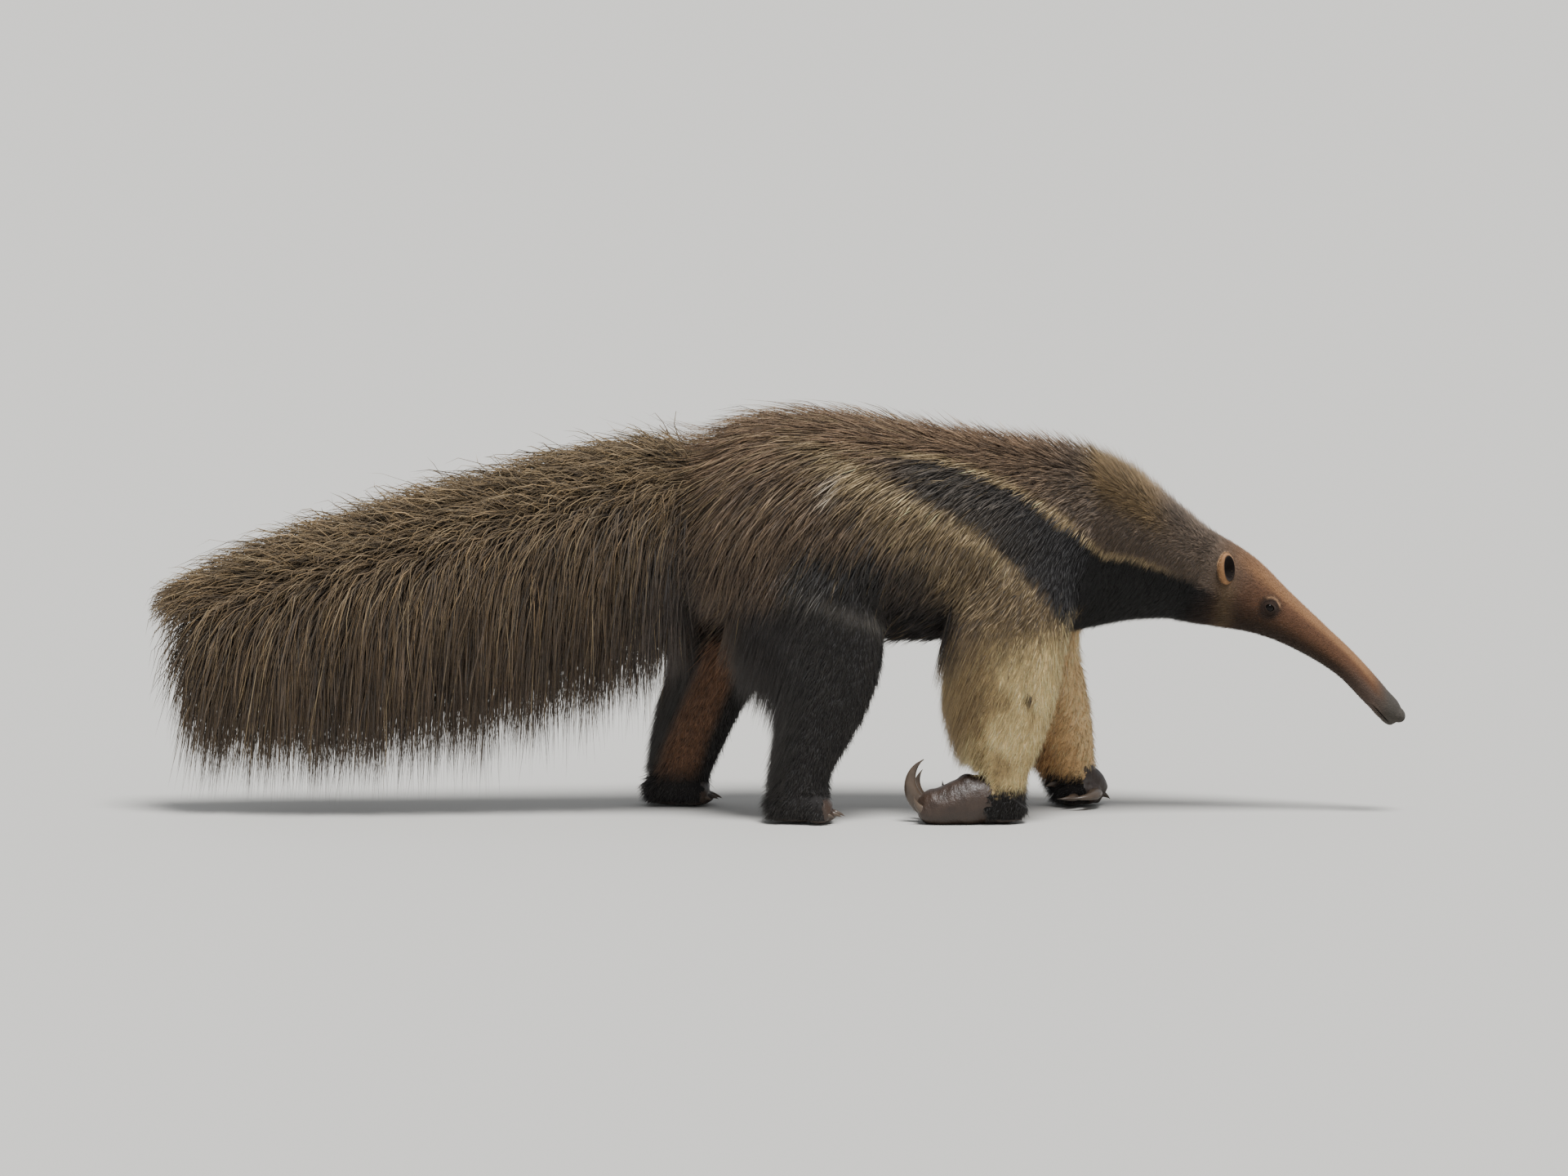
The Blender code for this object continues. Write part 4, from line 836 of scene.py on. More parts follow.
def repaint(paint, inside, points, root, tip, *more):
    """Lets a function that paints markings change only the points inside."""
    r, t = root[inside], tip[inside]
    paint(points[inside], r, t, *more)
    root[inside], tip[inside] = r, t


def markings(points, chance):
    """The coat's root and tip colours at each point, from the same lines on both flanks."""
    x, y, z = points[:, 0], np.abs(points[:, 1]), points[:, 2]
    w = z - VIEW_LEAN * y
    count = len(x)
    root, tip = (np.tile(linear(code), (count, 1)) for code in ("352a23", "7c6653"))

    paint = painter(root, tip)
    jitter = chance.normal(0, 0.004, count)
    upper = np.interp(x, UPPER_LINE_X, UPPER_LINE_Z)
    lower = np.interp(x, LOWER_LINE_X, LOWER_LINE_Z)

    # Flank and rump below the back: brown grey
    paint(blend(0.60, 0.50, w), "2f2721", "6e5d4d")
    # Tail: brown, darker and purplish low down, partly by painted shade, and lighter along the top by a
    # painted highlight
    tail = blend(-0.09, -0.17, x)
    paint(tail, "2b2219", "604f3a")
    rise = z - tail_middle(x)
    # Painted shade: the tail darker low down
    paint(tail * blend(0.03, -0.16, rise), "1f1812", "41352a")
    # Painted highlight: the tail lighter along its top
    paint(tail * blend(0.01, 0.10, rise), "2f261b", "75634a")
    rump = blend(-0.28, -0.16, x) * blend(-0.08, -0.13, x) * blend(0.50, 0.38, w + 2 * jitter)
    paint(rump * 0.85, "181415", "393230")
    paint(blend(-0.13, -0.08, x) * blend(0.08, 0.02, x) * blend(0.46, 0.34, w) * 0.7, "211a17", "51443a")
    # Neck and head above the line
    paint(blend(0.38, 0.52, x), "332c26", "6a5d54")
    nape = blend(0.47, 0.52, x) * blend(0.64, 0.58, x) * blend(0.47, 0.52, z + 0.6 * (x - 0.54))
    paint(nape * 0.7, "3a2e20", "7d6845")
    # Shoulder and chest below the lower line: pale grey brown
    ahead = blend(0.01, 0.09, x + 0.9 * (w - 0.56))
    under = blend(lower + 0.004, lower - 0.012, w + jitter) * ahead
    paint(under, "352b22", "8d7c62")
    border = blend(lower - 0.050, lower - 0.004, w) * under * blend(0.04, 0.12, x) * blend(0.44, 0.32, x)
    paint(border, "5a4d3d", "bfad8c")
    # Painted shadow in the hollow between the thigh and the chest
    hollow = blend(0.11, 0.16, x + jitter) * blend(0.28, 0.21, x) * blend(0.44, 0.37, w + jitter)
    paint(hollow * 0.85, "1b1715", "3b332d")
    # Pale patch on the right side of the rump
    scar = np.hypot(x - 0.090, 0.55 * (w - 0.516)) + np.abs(jitter) + 0.1 * (points[:, 1] > 0)
    paint(blend(0.022, 0.008, scar) * 0.9, "8a8078", "c4baae")
    # Black belly
    belly = blend(0.36, 0.31, w) * blend(0.30, 0.26, x) * blend(-0.10, -0.04, x)
    paint(belly, "191514", "2c2522")
    # Black band between the two lines, widening into the throat
    band = blend(upper + 0.002, upper - 0.006, w + jitter) * blend(lower - 0.006, lower + 0.006, w + jitter)
    band *= blend(0.11, 0.24, x)
    paint(band, "242120", "4f4945")
    paint(band * blend(0.30, 0.46, x), "171617", "302e2f")
    throat = blend(upper + 0.002, upper - 0.005, w + 0.7 * jitter) * blend(0.44, 0.52, x)
    throat *= blend(0.745, 0.715, x + 0.3 * (0.35 - w))
    paint(throat, "0a0909", "151413")
    # Pale line along the band's upper edge
    wide = np.interp(x, (0.15, 0.22, 0.30, 0.45, 0.56, 0.66), (0.000, 0.0015, 0.003, 0.003, 0.001, 0.000))
    line = blend(wide + 0.005, wide, np.abs(w + 0.3 * jitter - upper - 0.003)) * blend(0.14, 0.24, x)
    line *= blend(0.66, 0.56, x) * 0.9
    paint(line, "7a6a52", "b9a685")
    return root, tip


def leg_markings(points, root, tip, key, chance):
    """Colours of one leg, below the arch."""
    x, y, z = points.T
    kind, side = key
    front = x - leg_middle(key, z, "x")
    outward = (y - leg_middle(key, z, "y")) * side
    jitter = chance.normal(0, 0.008, len(x))

    paint = painter(root, tip)
    if kind == "foreleg":
        cream = blend(0.315, 0.245, z + 2 * jitter + 0.25 * (0.03 - front))
        inner = blend(0.0, -0.02, outward)
        if side == RIGHT:
            paint(cream, "a8936b", "e6d4a9")
            mottled = blend(0.05, 0.45, patches(points * (1, 1, 0.5), 0.030) + 0.4 * (0.01 - front) / 0.05)
            paint(cream * mottled * 0.75, "6b5a41", "a8926b")
            spot = np.hypot(x - 0.399, z - 0.200) + 0.3 * np.abs(jitter)
            paint(blend(0.014, 0.006, spot) * blend(0.0, 0.02, outward), "2a221b", "40352b")
            paint(cream * blend(-0.015, -0.060, front + jitter) * blend(0.10, 0.16, z), "5c4a35", "a08a66")
            paint(cream * inner, "7c5c38", "a8875d")
        else:
            paint(cream, "ab8a64", "d8b88e")
            paint(cream * blend(0.000, 0.035, front + jitter), "c4a67e", "ecd5af")
            paint(cream * blend(0.00, -0.05, front), "8a6745", "b48e64")
        low, high = (0.048, 0.062) if side == RIGHT else (0.040, 0.058)
        paint(blend(high, low, z + 0.5 * jitter), "0f0d0c", "1f1b19")
    else:
        edge = np.interp(z, (0.15, 0.30, 0.46), (-0.080, -0.060, 0.000))
        dark = blend(edge - 0.020, edge + 0.020, front + jitter) * blend(0.46, 0.40, z + jitter)
        paint(np.maximum(dark, blend(0.20, 0.15, z)), "151313", "363332")
        # Painted highlight: a grey band along the thigh's upper front edge, above the knee
        knee_highlight = blend(0.030, 0.0, np.abs(z - 0.36 + 0.5 * front)) * blend(-0.04, 0.03, front)
        paint(knee_highlight * 0.8, "2e2c2e", "6e6b69")
        if side == LEFT:
            inner = blend(0.020, -0.012, outward) * blend(0.045, 0.020, np.abs(front + 0.005))
            paint(inner * blend(0.035, 0.075, z), "4c382d", "7a5b48")


def face_markings(points, root, tip):
    """Reddish brown face, painted shade on its lower half, a painted highlight along the top, grey snout tip,
    dark eye patch and a painted highlight on the brow fold.
    """
    x, y, z = points.T

    paint = painter(root, tip)
    rows = smooth_rows((*NECK, *FACE), 60)
    middle = np.interp(x, rows[:, 0], rows[:, 2])
    rise = (z - middle) / np.interp(x, rows[:, 0], rows[:, 4])
    face = blend(0.670, 0.770, x - 0.35 * (z - middle))
    paint(face, "3f2c20", "5c4131")
    # Painted shade: the lower half of the face darker
    paint(face * blend(0.1, -0.7, rise), "241912", "36281e")
    # Painted highlight: the top of the face and snout lighter, short of the nose
    paint(face * blend(0.55, 1.0, rise) * blend(0.97, 0.93, x), "5c4330", "846347")
    paint(blend(0.690, 0.715, x) * blend(0.740, 0.715, x) * blend(0.5, 0.0, rise) * 0.6, "4a3b2e", "75634c")
    paint(blend(0.880, 0.960, x) * blend(0.6, -0.2, rise), "3e3330", "544843")
    paint(blend(0.945, 0.978, x), "2b2928", "454240")
    gap = np.sqrt((x - EYE_CENTRE.x) ** 2 + (np.abs(y) - EYE_CENTRE.y) ** 2 + (z - EYE_CENTRE.z) ** 2)
    paint(blend(0.026, 0.014, gap) * 0.9, "18110d", "241a14")
    above = (z - EYE_CENTRE.z) * 0.8 + (x - EYE_CENTRE.x) * 0.6
    # Painted highlight on the fold of skin above and ahead of the eye
    brow_highlight = blend(0.0028, 0.0008, np.abs(gap - 0.0165)) * blend(0.007, 0.013, above)
    paint(brow_highlight * 0.7, "6e5441", "9a7d66")
    paint(blend(1.25, 1.05, cup_reach(points)), "17100d", "17100d")


# Coat --------------------------------------------------------------------------

def past(points, cut):
    """How far each point lies past a parting plane, towards the head."""
    direction = np.array(cut[1]) / np.linalg.norm(cut[1])
    return (points - np.array(cut[0])) @ direction


def in_leg(points, key):
    arch, side = ARCHES[key], key[1]
    outward = points[:, 1] * side
    low = points[:, 2] < GROIN_HEIGHT
    inner = np.where(low, LEG_INNER, arch.inner)
    across, rise = points[:, 0] - arch.x, np.maximum(0, points[:, 2] - arch.z)
    trail = np.where(low & (across < 0), arch.trail, 0)
    return (outward > inner) & (np.hypot(across, rise) < arch.radius + trail)


def region_of(points):
    """The name of the node that each point of the skin belongs to."""
    names = np.full(len(points), "torso", dtype=object)
    names[past(points, TAIL_CUT) < 0] = "tail"
    names[past(points, NECK_CUT) > 0] = "neck"
    names[past(points, HEAD_CUT) > 0] = "head"
    for key in LEGS:
        names[in_leg(points, key)] = sided(*key)
    return names


def bare_of(points):
    """The hairless hide of the hands and toes."""
    x, y, z = points[:, 0] + 0.012 * patches(points, 0.014), points[:, 1], points[:, 2]
    bare = (y < 0) & (x > 0.17) & (x < 0.335) & (z < 0.085)
    bare |= (y > 0) & (x > 0.497) & (x < 0.56) & (z < 0.065)
    for side in (RIGHT, LEFT):
        toes = LEGS["hindleg", side][6].x + 0.034
        bare |= (y * side > 0) & (x > toes) & (x < toes + 0.05) & (z < 0.040)
    return bare | (z < 0.008)


def coat_region_of(points):
    """As region_of, but the coat of the trunk runs on down over the top of the legs, to a ragged line."""
    names = region_of(points)
    names[bare_of(points)] = "bare"
    line = np.random.default_rng(3).normal(0, 0.014, len(points))
    for key, (_, _, top) in LEG_COATS.items():
        names[(names == sided(*key)) & (points[:, 2] > top + line)] = "torso"
    return names


class Skin:
    """The skin's triangles, for sowing roots and for laying hair on it."""

    def __init__(self, piece):
        mesh = piece.data
        mesh.calc_loop_triangles()
        self.points = read(mesh.vertices, "co")
        self.corners = read(mesh.loop_triangles, "vertices", np.int32)
        if "buried" in mesh.attributes:
            face = read(mesh.loop_triangles, "polygon_index", np.int32, 1)[:, 0]
            buried = read(mesh.attributes["buried"].data, "value", bool, 1)[:, 0]
            self.corners = self.corners[~buried[face]]
            mesh.attributes.remove(mesh.attributes["buried"])
        a, b, c = (self.points[self.corners[:, k]] for k in range(3))
        cross = np.cross(b - a, c - a)
        self.areas = np.linalg.norm(cross, axis=1) / 2
        self.normals = cross / np.maximum(1e-12, 2 * self.areas)[:, None]
        self.centres = (a + b + c) / 3
        self.regions = coat_region_of(self.centres)
        self.tree = BVHTree.FromPolygons(self.points.tolist(), self.corners.tolist())

    def sow(self, wanted, count, chance, weight=None):
        """Roots spread evenly over the wanted triangles, or more thickly where the weight is larger."""
        chosen = np.flatnonzero(wanted)
        share = self.areas[chosen] * (1 if weight is None else weight[chosen])
        edge = np.cumsum(share)
        picks = (np.arange(count) + chance.random(count)) / count * edge[-1]
        triangle = chosen[np.minimum(np.searchsorted(edge, picks), len(chosen) - 1)]
        u, v = chance.random(count), chance.random(count)
        flip = u + v > 1
        u[flip], v[flip] = 1 - u[flip], 1 - v[flip]
        a, b, c = (self.points[self.corners[triangle, k]] for k in range(3))
        return a + (b - a) * u[:, None] + (c - a) * v[:, None], self.normals[triangle]

    def nearest(self, points):
        """The nearest place on the skin and its outward direction, for each point."""
        find = self.tree.find_nearest
        found = [find(point)[:2] for point in points.tolist()]
        flat = np.array([(*spot, *normal) for spot, normal in found])
        return flat[:, :3], flat[:, 3:]


def climb(skin, point):
    """The nearest skin to each point, its outward direction and how high the point stands over it."""
    spots, outward = skin.nearest(point)
    return spots, outward, np.sum((point - spots) * outward, axis=1)


def lay_hair(skin, roots, normals, start, end, length, rise, rings, hold):
    """Paths that set out along start, turn towards end and keep a growing height over the skin.

    Rise is the height of the tip over the skin. Hold is 1 for hair that keeps exactly to it and 0 for hair
    that is only kept from sinking in.
    """
    flow = unit(start - normals * np.sum(start * normals, axis=1)[:, None])
    path = [roots - normals * ROOT_DEPTH]
    for k in range(1, rings):
        share = k / (rings - 1)
        turned = unit(flow * (1 - share) + end * share + normals * (0.35 * (1 - share)))
        point = path[-1] + turned * (length / (rings - 1))[:, None]
        spots, outward, height = climb(skin, point)
        target = rise * share**0.8
        lowest = np.minimum(target, 0.002 + 0.5 * rise * share)
        wanted = np.maximum(height * (1 - hold) + target * hold, lowest)
        # A tip far from the skin hangs free
        wanted = np.where(np.linalg.norm(point - spots, axis=1) > 0.06, height, wanted)
        path.append(point + outward * (wanted - height)[:, None])
    return np.stack(path, axis=1)


def hang_hair(skin, roots, normals, bends, tips, rings, lift):
    """Paths that leave the skin, bend and hang to given tips, kept from sinking in."""
    path = [roots - normals * ROOT_DEPTH]
    for k in range(1, rings):
        t = k / (rings - 1)
        point = roots * (1 - t) ** 2 + bends * 2 * t * (1 - t) + tips * t**2
        _, outward, height = climb(skin, point)
        need = 0.002 + lift * min(1.0, 2 * t)
        push = np.where((height < need) & (height > -0.08), need - height, 0)
        path.append(point + outward * push[:, None])
    return np.stack(path, axis=1)


def gather(paths, chance, share, strength):
    """Draws the ends of the hairs towards leaders, so that they fall into locks."""
    count = len(paths)
    leaders = chance.choice(count, max(1, int(count * share)), replace=False)
    tree = KDTree(len(leaders))
    for place, index in enumerate(leaders):
        tree.insert(paths[index, 0], place)
    tree.balance()
    nearest = np.array([leaders[tree.find(root)[1]] for root in paths[:, 0]])
    along = np.linspace(0, 1, paths.shape[1])[None, :, None]
    follow = chance.uniform(0.5, 1.0, count) * (chance.random(count) < 0.85)
    return paths + (paths[nearest] - paths) * (strength * along**1.4 * follow[:, None, None])


def ruffle(paths, chance, amount):
    """A small wander of each hair, growing towards its tip."""
    count, rings, _ = paths.shape
    along = np.linspace(0, 1, rings)[None, :, None]
    drift = chance.normal(0, 1, (count, 1, 3)) * along**1.2
    drift = drift + 0.18 * chance.normal(0, 1, (count, rings, 3)) * along
    return paths + drift * amount


def unwrap(roots, axis):
    """Each root's place on an unwrap of the skin about a line: along it and round it."""
    (start, end) = (np.array(p, float) for p in axis)
    ahead = unit(end - start)
    relative = roots - start
    along = relative @ ahead
    side = unit(np.cross(ahead, (0.0, 1.0, 0.0)))
    other = np.cross(ahead, side)
    around = np.arctan2(relative @ other, relative @ side) / (2 * math.pi) + 0.5
    low, high = along.min(), along.max()
    return np.stack([0.01 + 0.975 * (along - low) / max(1e-6, high - low), 0.01 + 0.975 * around], axis=1)


def tuft_faces(solid):
    """The triangles of one three-sided tuft with that many rings below its tip."""
    faces = []
    for i in range(solid - 1):
        for k in range(3):
            a, b = 3 * i + k, 3 * i + (k + 1) % 3
            faces += [(a, b, b + 3), (a, b + 3, a + 3)]
    base = 3 * (solid - 1)
    faces += [(base + k, base + (k + 1) % 3, base + 3) for k in range(3)]
    return np.array(faces + [(2, 1, 0)], dtype=np.int32)


def tuft_piece(name, paths, facing, width, colours, axis, material, chance):
    """One mesh of closed, tapered tufts, each three-sided, with its colours and its place on the unwrap."""
    # Tips that stray past the solids' box are drawn most of the way back to it
    low, high = (np.array(corner) for corner in cad_box)
    paths = paths - STRAY * (np.maximum(0, paths - high) - np.maximum(0, low - paths))
    count, rings, _ = paths.shape
    ahead = np.empty_like(paths)
    ahead[:, 1:-1] = paths[:, 2:] - paths[:, :-2]
    ahead[:, 0] = paths[:, 1] - paths[:, 0]
    ahead[:, -1] = paths[:, -1] - paths[:, -2]
    ahead = unit(ahead)
    turn = chance.normal(0, 0.5, count)[:, None, None]
    beside = unit(np.cross(ahead, facing[:, None, :]))
    beside = beside * np.cos(turn) + np.cross(beside, ahead) * np.sin(turn)
    outward = np.cross(beside, ahead)
    along = np.linspace(0, 1, rings)
    taper = np.interp(along, (0, 0.25, 0.7, 1.0), (0.75, 1.0, 0.70, 0.0))
    solid = rings - 1
    size = (width[:, None] * taper[None, :solid])[..., None]
    low_rings = paths[:, :solid]
    body = np.stack([
        low_rings - beside[:, :solid] * size / 2,
        low_rings + beside[:, :solid] * size / 2,
        low_rings + outward[:, :solid] * size * 0.42,
    ], axis=2).reshape(count, solid * 3, 3)
    points = np.concatenate([body, paths[:, -1:, :]], axis=1)
    each = points.shape[1]
    starts = (np.arange(count, dtype=np.int32) * each)[:, None, None]
    corners = (tuft_faces(solid)[None] + starts).reshape(-1)
    total = len(corners) // 3

    mesh = bpy.data.meshes.new(name)
    mesh.vertices.add(count * each)
    mesh.vertices.foreach_set("co", points.reshape(-1).astype(np.float32))
    mesh.loops.add(total * 3)
    mesh.loops.foreach_set("vertex_index", corners)
    mesh.polygons.add(total)
    mesh.polygons.foreach_set("loop_start", np.arange(total, dtype=np.int32) * 3)
    mesh.polygons.foreach_set("loop_total", np.full(total, 3, dtype=np.int32))
    mesh.update(calc_edges=True)

    for label, values in zip(("root_colour", "tip_colour"), colours):
        set_colour(mesh, label, np.repeat(values, each, axis=0))
    place = np.append(np.repeat(along[:solid], 3), 1.0)
    set_value(mesh, "along", np.tile(place, count))
    spots = unwrap(paths[:, 0], axis)
    across = np.append(np.tile((0.0, 1.0, 0.5), solid), 0.5)
    local = np.stack([across * PATCH, place * PATCH], axis=1)
    uv = (spots[:, None, :] + local[None]).reshape(-1, 2)[corners]
    mesh.uv_layers.new(name="OFBake").data.foreach_set("uv", uv.reshape(-1).astype(np.float32))
    mesh.materials.append(material)
    mesh.shade_smooth()
    made = bpy.data.objects.new(name, mesh)
    bpy.context.scene.collection.objects.link(made)
    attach(made, "root")
    return made


def sunned(colours):
    """Lightens and warms hair colours as sun does, and leaves the black ones black."""
    share = blend(0.008, 0.05, colours.max(axis=1))[:, None]
    return np.clip(colours * (1 + share * (np.array(SUN_GAIN) - 1)), 0, 1)


def tinted(roots, root, tip, chance, spread=0.22, straw=0.0):
    """Varies the colour from hair to hair and from patch to patch, and bleaches some tips to straw."""
    count = len(root)
    patch = 0.26 * patches(roots, 0.045) + 0.16 * patches(roots, 0.014)
    shade = np.exp(chance.normal(0, spread, count) + patch)[:, None]
    root, tip = sunned(root) * shade, sunned(tip) * shade
    bleached = (chance.random(count) < straw)[:, None] * chance.uniform(0.4, 1.0, count)[:, None]
    tip = tip * (1 - bleached) + np.array(linear("a58f6b")) * bleached
    return root, np.clip(tip, 0, 1)


def over_trunk(table, x, lean):
    """A value of the trunk's coat, between the places given."""
    columns = np.stack([np.interp(x, COAT_X, row) for row in table], axis=1)
    place = np.interp(lean, COAT_LEAN, range(4))
    low = np.clip(place.astype(int), 0, 2)
    part = place - low
    index = np.arange(len(x))
    return columns[index, low] * (1 - part) + columns[index, low + 1] * part


def trunk_flow(roots, lean):
    """The lie of the coat on the trunk and neck: back along the ridge, down and back on the flank."""
    side = np.clip(roots[:, 1] / 0.03, -1, 1)
    down = np.interp(lean, (0, 20, 60, 100, 140, 180), (0.02, 0.15, 0.60, 0.90, 0.45, 0.0))
    down *= np.interp(roots[:, 0], (-0.10, 0.10, 0.45, 0.60, 0.72), (1.25, 1.0, 1.0, 0.7, 0.5))
    out = np.interp(lean, (0, 15, 40, 90, 150), (0.0, 0.08, 0.26, 0.05, 0.0))
    back = np.interp(lean, (0, 60, 100, 140, 180), (-1.0, -0.85, -0.55, -0.8, -1.0))
    ahead = np.interp(roots[:, 0], (0.45, 0.62), (0.0, 0.35))
    return unit(np.stack([back, out * side, -down + ahead * (lean < 60)], axis=1))


def coat_trunk(skin, hair, chance, name, region, low_lean, high_lean, count, width, slot, rings):
    """The long crest of the back and the shorter coat of the flanks, belly and neck."""
    skin_lean = trunk_lean(skin.centres)
    wanted = (skin.regions == region) & (skin_lean >= low_lean) & (skin_lean < high_lean)
    roots, normals = skin.sow(wanted, count, chance)
    x = roots[:, 0]
    lean = trunk_lean(roots)
    start = trunk_flow(roots, lean)
    end = start.copy()
    end[:, 2] -= np.interp(lean, (0, 40, 110), (0.10, 0.5, 0.9)) * np.interp(x, (0.0, 0.25), (1.0, 0.35))
    end = unit(end)
    length = over_trunk(COAT_LENGTH, x, lean) * chance.uniform(0.65, 1.12, count) * clear_of_ears(roots)
    least = np.interp(x, (0.10, 0.35), (0.35, 0.70))
    rise = over_trunk(COAT_RISE, x, lean) * (least + (1.05 - least) * chance.random(count))
    hold = np.interp(x, (-0.1, 0.05, 0.3), (0.45, 0.75, 0.92))
    hold = np.where(lean > 60, hold * np.interp(x, (-0.08, 0.05), (0.4, 1.0)), hold)
    paths = lay_hair(skin, roots, normals, start, end, length, rise, rings, hold)
    paths = gather(paths, chance, 0.10, 0.45)
    paths = ruffle(paths, chance, 0.012 * np.clip(length / 0.10, 0.2, 1.2)[:, None, None])
    middles = (roots + paths[:, -1]) / 2
    root, tip = markings(middles, chance)
    for key in LEGS:
        repaint(leg_markings, in_leg(middles, key), middles, root, tip, key, chance)
    straw = 0.06 + 0.18 * np.clip((60 - lean) / 40, 0, 1)
    fine = np.interp(x, (0.10, 0.45), (1.0, 0.72))
    colours = tinted(roots, root, tip, chance, 0.36, straw * blend(0.40, 0.15, x))
    tuft_piece(name, paths, normals, width * fine * chance.uniform(0.7, 1.3, count), colours,
               ((-0.15, 0, 0.46), (0.70, 0, 0.40)), hair, chance)


def coat_tail(skin, hair, chance, name, low_lean, high_lean):
    """The tail's hair, from the crest that leans back to the curtain that hangs nearly to the ground."""
    count, centres = TAIL_TUFTS, skin.centres
    skin_lean = lean_of(centres, tail_middle(centres[:, 0]))
    wanted = (skin.regions == "tail") & (skin_lean >= low_lean) & (skin_lean < high_lean)
    weight = np.interp(centres[:, 0], (-0.90, -0.80, -0.25, -0.13), (2.4, 1.2, 1.0, 1.3))
    roots, normals = skin.sow(wanted, count, chance, weight)
    x = roots[:, 0]
    side = np.clip(roots[:, 1] / 0.012, -1, 1)
    lean = lean_of(roots, tail_middle(x))
    end_share = np.interp(x, (-0.90, -0.72), (1.0, 0.0))
    swept = np.interp(lean, (0, 30, 60, 100, 180), (0.150, 0.115, 0.062, 0.034, 0.026))
    swept = swept * chance.uniform(0.4, 1.35, count) + end_share * np.interp(lean, (0, 180), (0.02, 0.05))
    swept *= np.interp(x, (-0.24, -0.13), (1.0, 0.75))
    tip_x = np.maximum(x - swept, -0.990 + 0.02 * chance.random(count))
    # The fringe hangs in longer and shorter clumps, 50 to 90 mm wide
    turns = 2 * math.pi * tip_x
    clump = 0.5 * np.sin(turns / 0.052 + side) + 0.5 * np.sin(turns / 0.087 + 2 + side)
    high = np.interp(tip_x, TAIL_X, TAIL_HIGH)
    low = np.interp(tip_x, TAIL_X, TAIL_LOW) + 0.028 * clump
    middle = tail_middle(tip_x)
    share = np.interp(lean + chance.normal(0, 10, count), (0, 25, 50, 75, 105, 140, 180),
                      (1.0, 0.78, 0.15, -0.50, -0.86, -0.97, -1.0))
    share *= 1.18 - np.abs(chance.normal(0, np.interp(lean, (60, 110), (0.22, 0.32)), count))
    share = np.clip(share, -1.12, 1.04)
    tip_z = np.where(share > 0, middle + (high - middle) * share, middle + (middle - low) * share)
    tip_z = np.maximum(tip_z, 0.026)
    spread = np.interp(lean, (0, 35, 65, 100, 150, 180), (0.012, 0.045, 0.080, 0.066, 0.034, 0.010))
    spread = spread * (chance.uniform(0.6, 1.15, count) - 0.9 * end_share * chance.random(count))
    spread *= 1 - 0.4 * end_share
    tips = np.stack([tip_x, side * spread, tip_z], axis=1)
    # Each hair first sweeps back and out, then falls
    z = roots[:, 2]
    bend_z = np.where(share > 0, 0.5 * z + 0.5 * tip_z, 0.72 * z + 0.28 * tip_z)
    bends = np.stack([0.25 * x + 0.75 * tip_x, 0.5 * roots[:, 1] + 0.5 * tips[:, 1], bend_z], axis=1)
    bulge = np.interp(lean, (0, 60, 110, 180), (0.030, 0.045, 0.030, 0.0))
    bends += normals * (bulge * chance.uniform(0.5, 1.4, count))[:, None]
    bends[:, 2] += np.interp(lean, (0, 60, 110), (0.010, 0.040, 0.020))
    lift = np.interp(lean, (0, 60, 180), (0.012, 0.014, 0.004))
    paths = hang_hair(skin, roots, normals, bends, tips, TAIL_RINGS, lift)
    paths = gather(paths, chance, 0.07, 0.62)
    paths = ruffle(paths, chance, 0.016)
    paths[:, :, 2] = np.maximum(paths[:, :, 2], 0.020)
    middles = paths[:, -3]
    root, tip = markings(middles, chance)
    high_side = np.clip((middles[:, 2] - tail_middle(middles[:, 0]) + 0.05) / 0.10, 0, 1)
    colours = tinted(roots, root, tip, chance, 0.38, 0.05 + 0.16 * high_side)
    facing = unit(normals * 0.3 + np.stack([0 * x, side, 0.3 + 0 * x], axis=1))
    tuft_piece(name, paths, facing, TAIL_WIDTH * chance.uniform(0.6, 1.35, count), colours,
               ((-0.90, 0, 0.31), (-0.13, 0, 0.48)), hair, chance)


def rear_of(points, key):
    """Degrees round a leg from its front."""
    z = points[:, 2]
    return np.degrees(np.arctan2(np.abs(points[:, 1] - leg_middle(key, z, "y")),
                                 points[:, 0] - leg_middle(key, z, "x")))


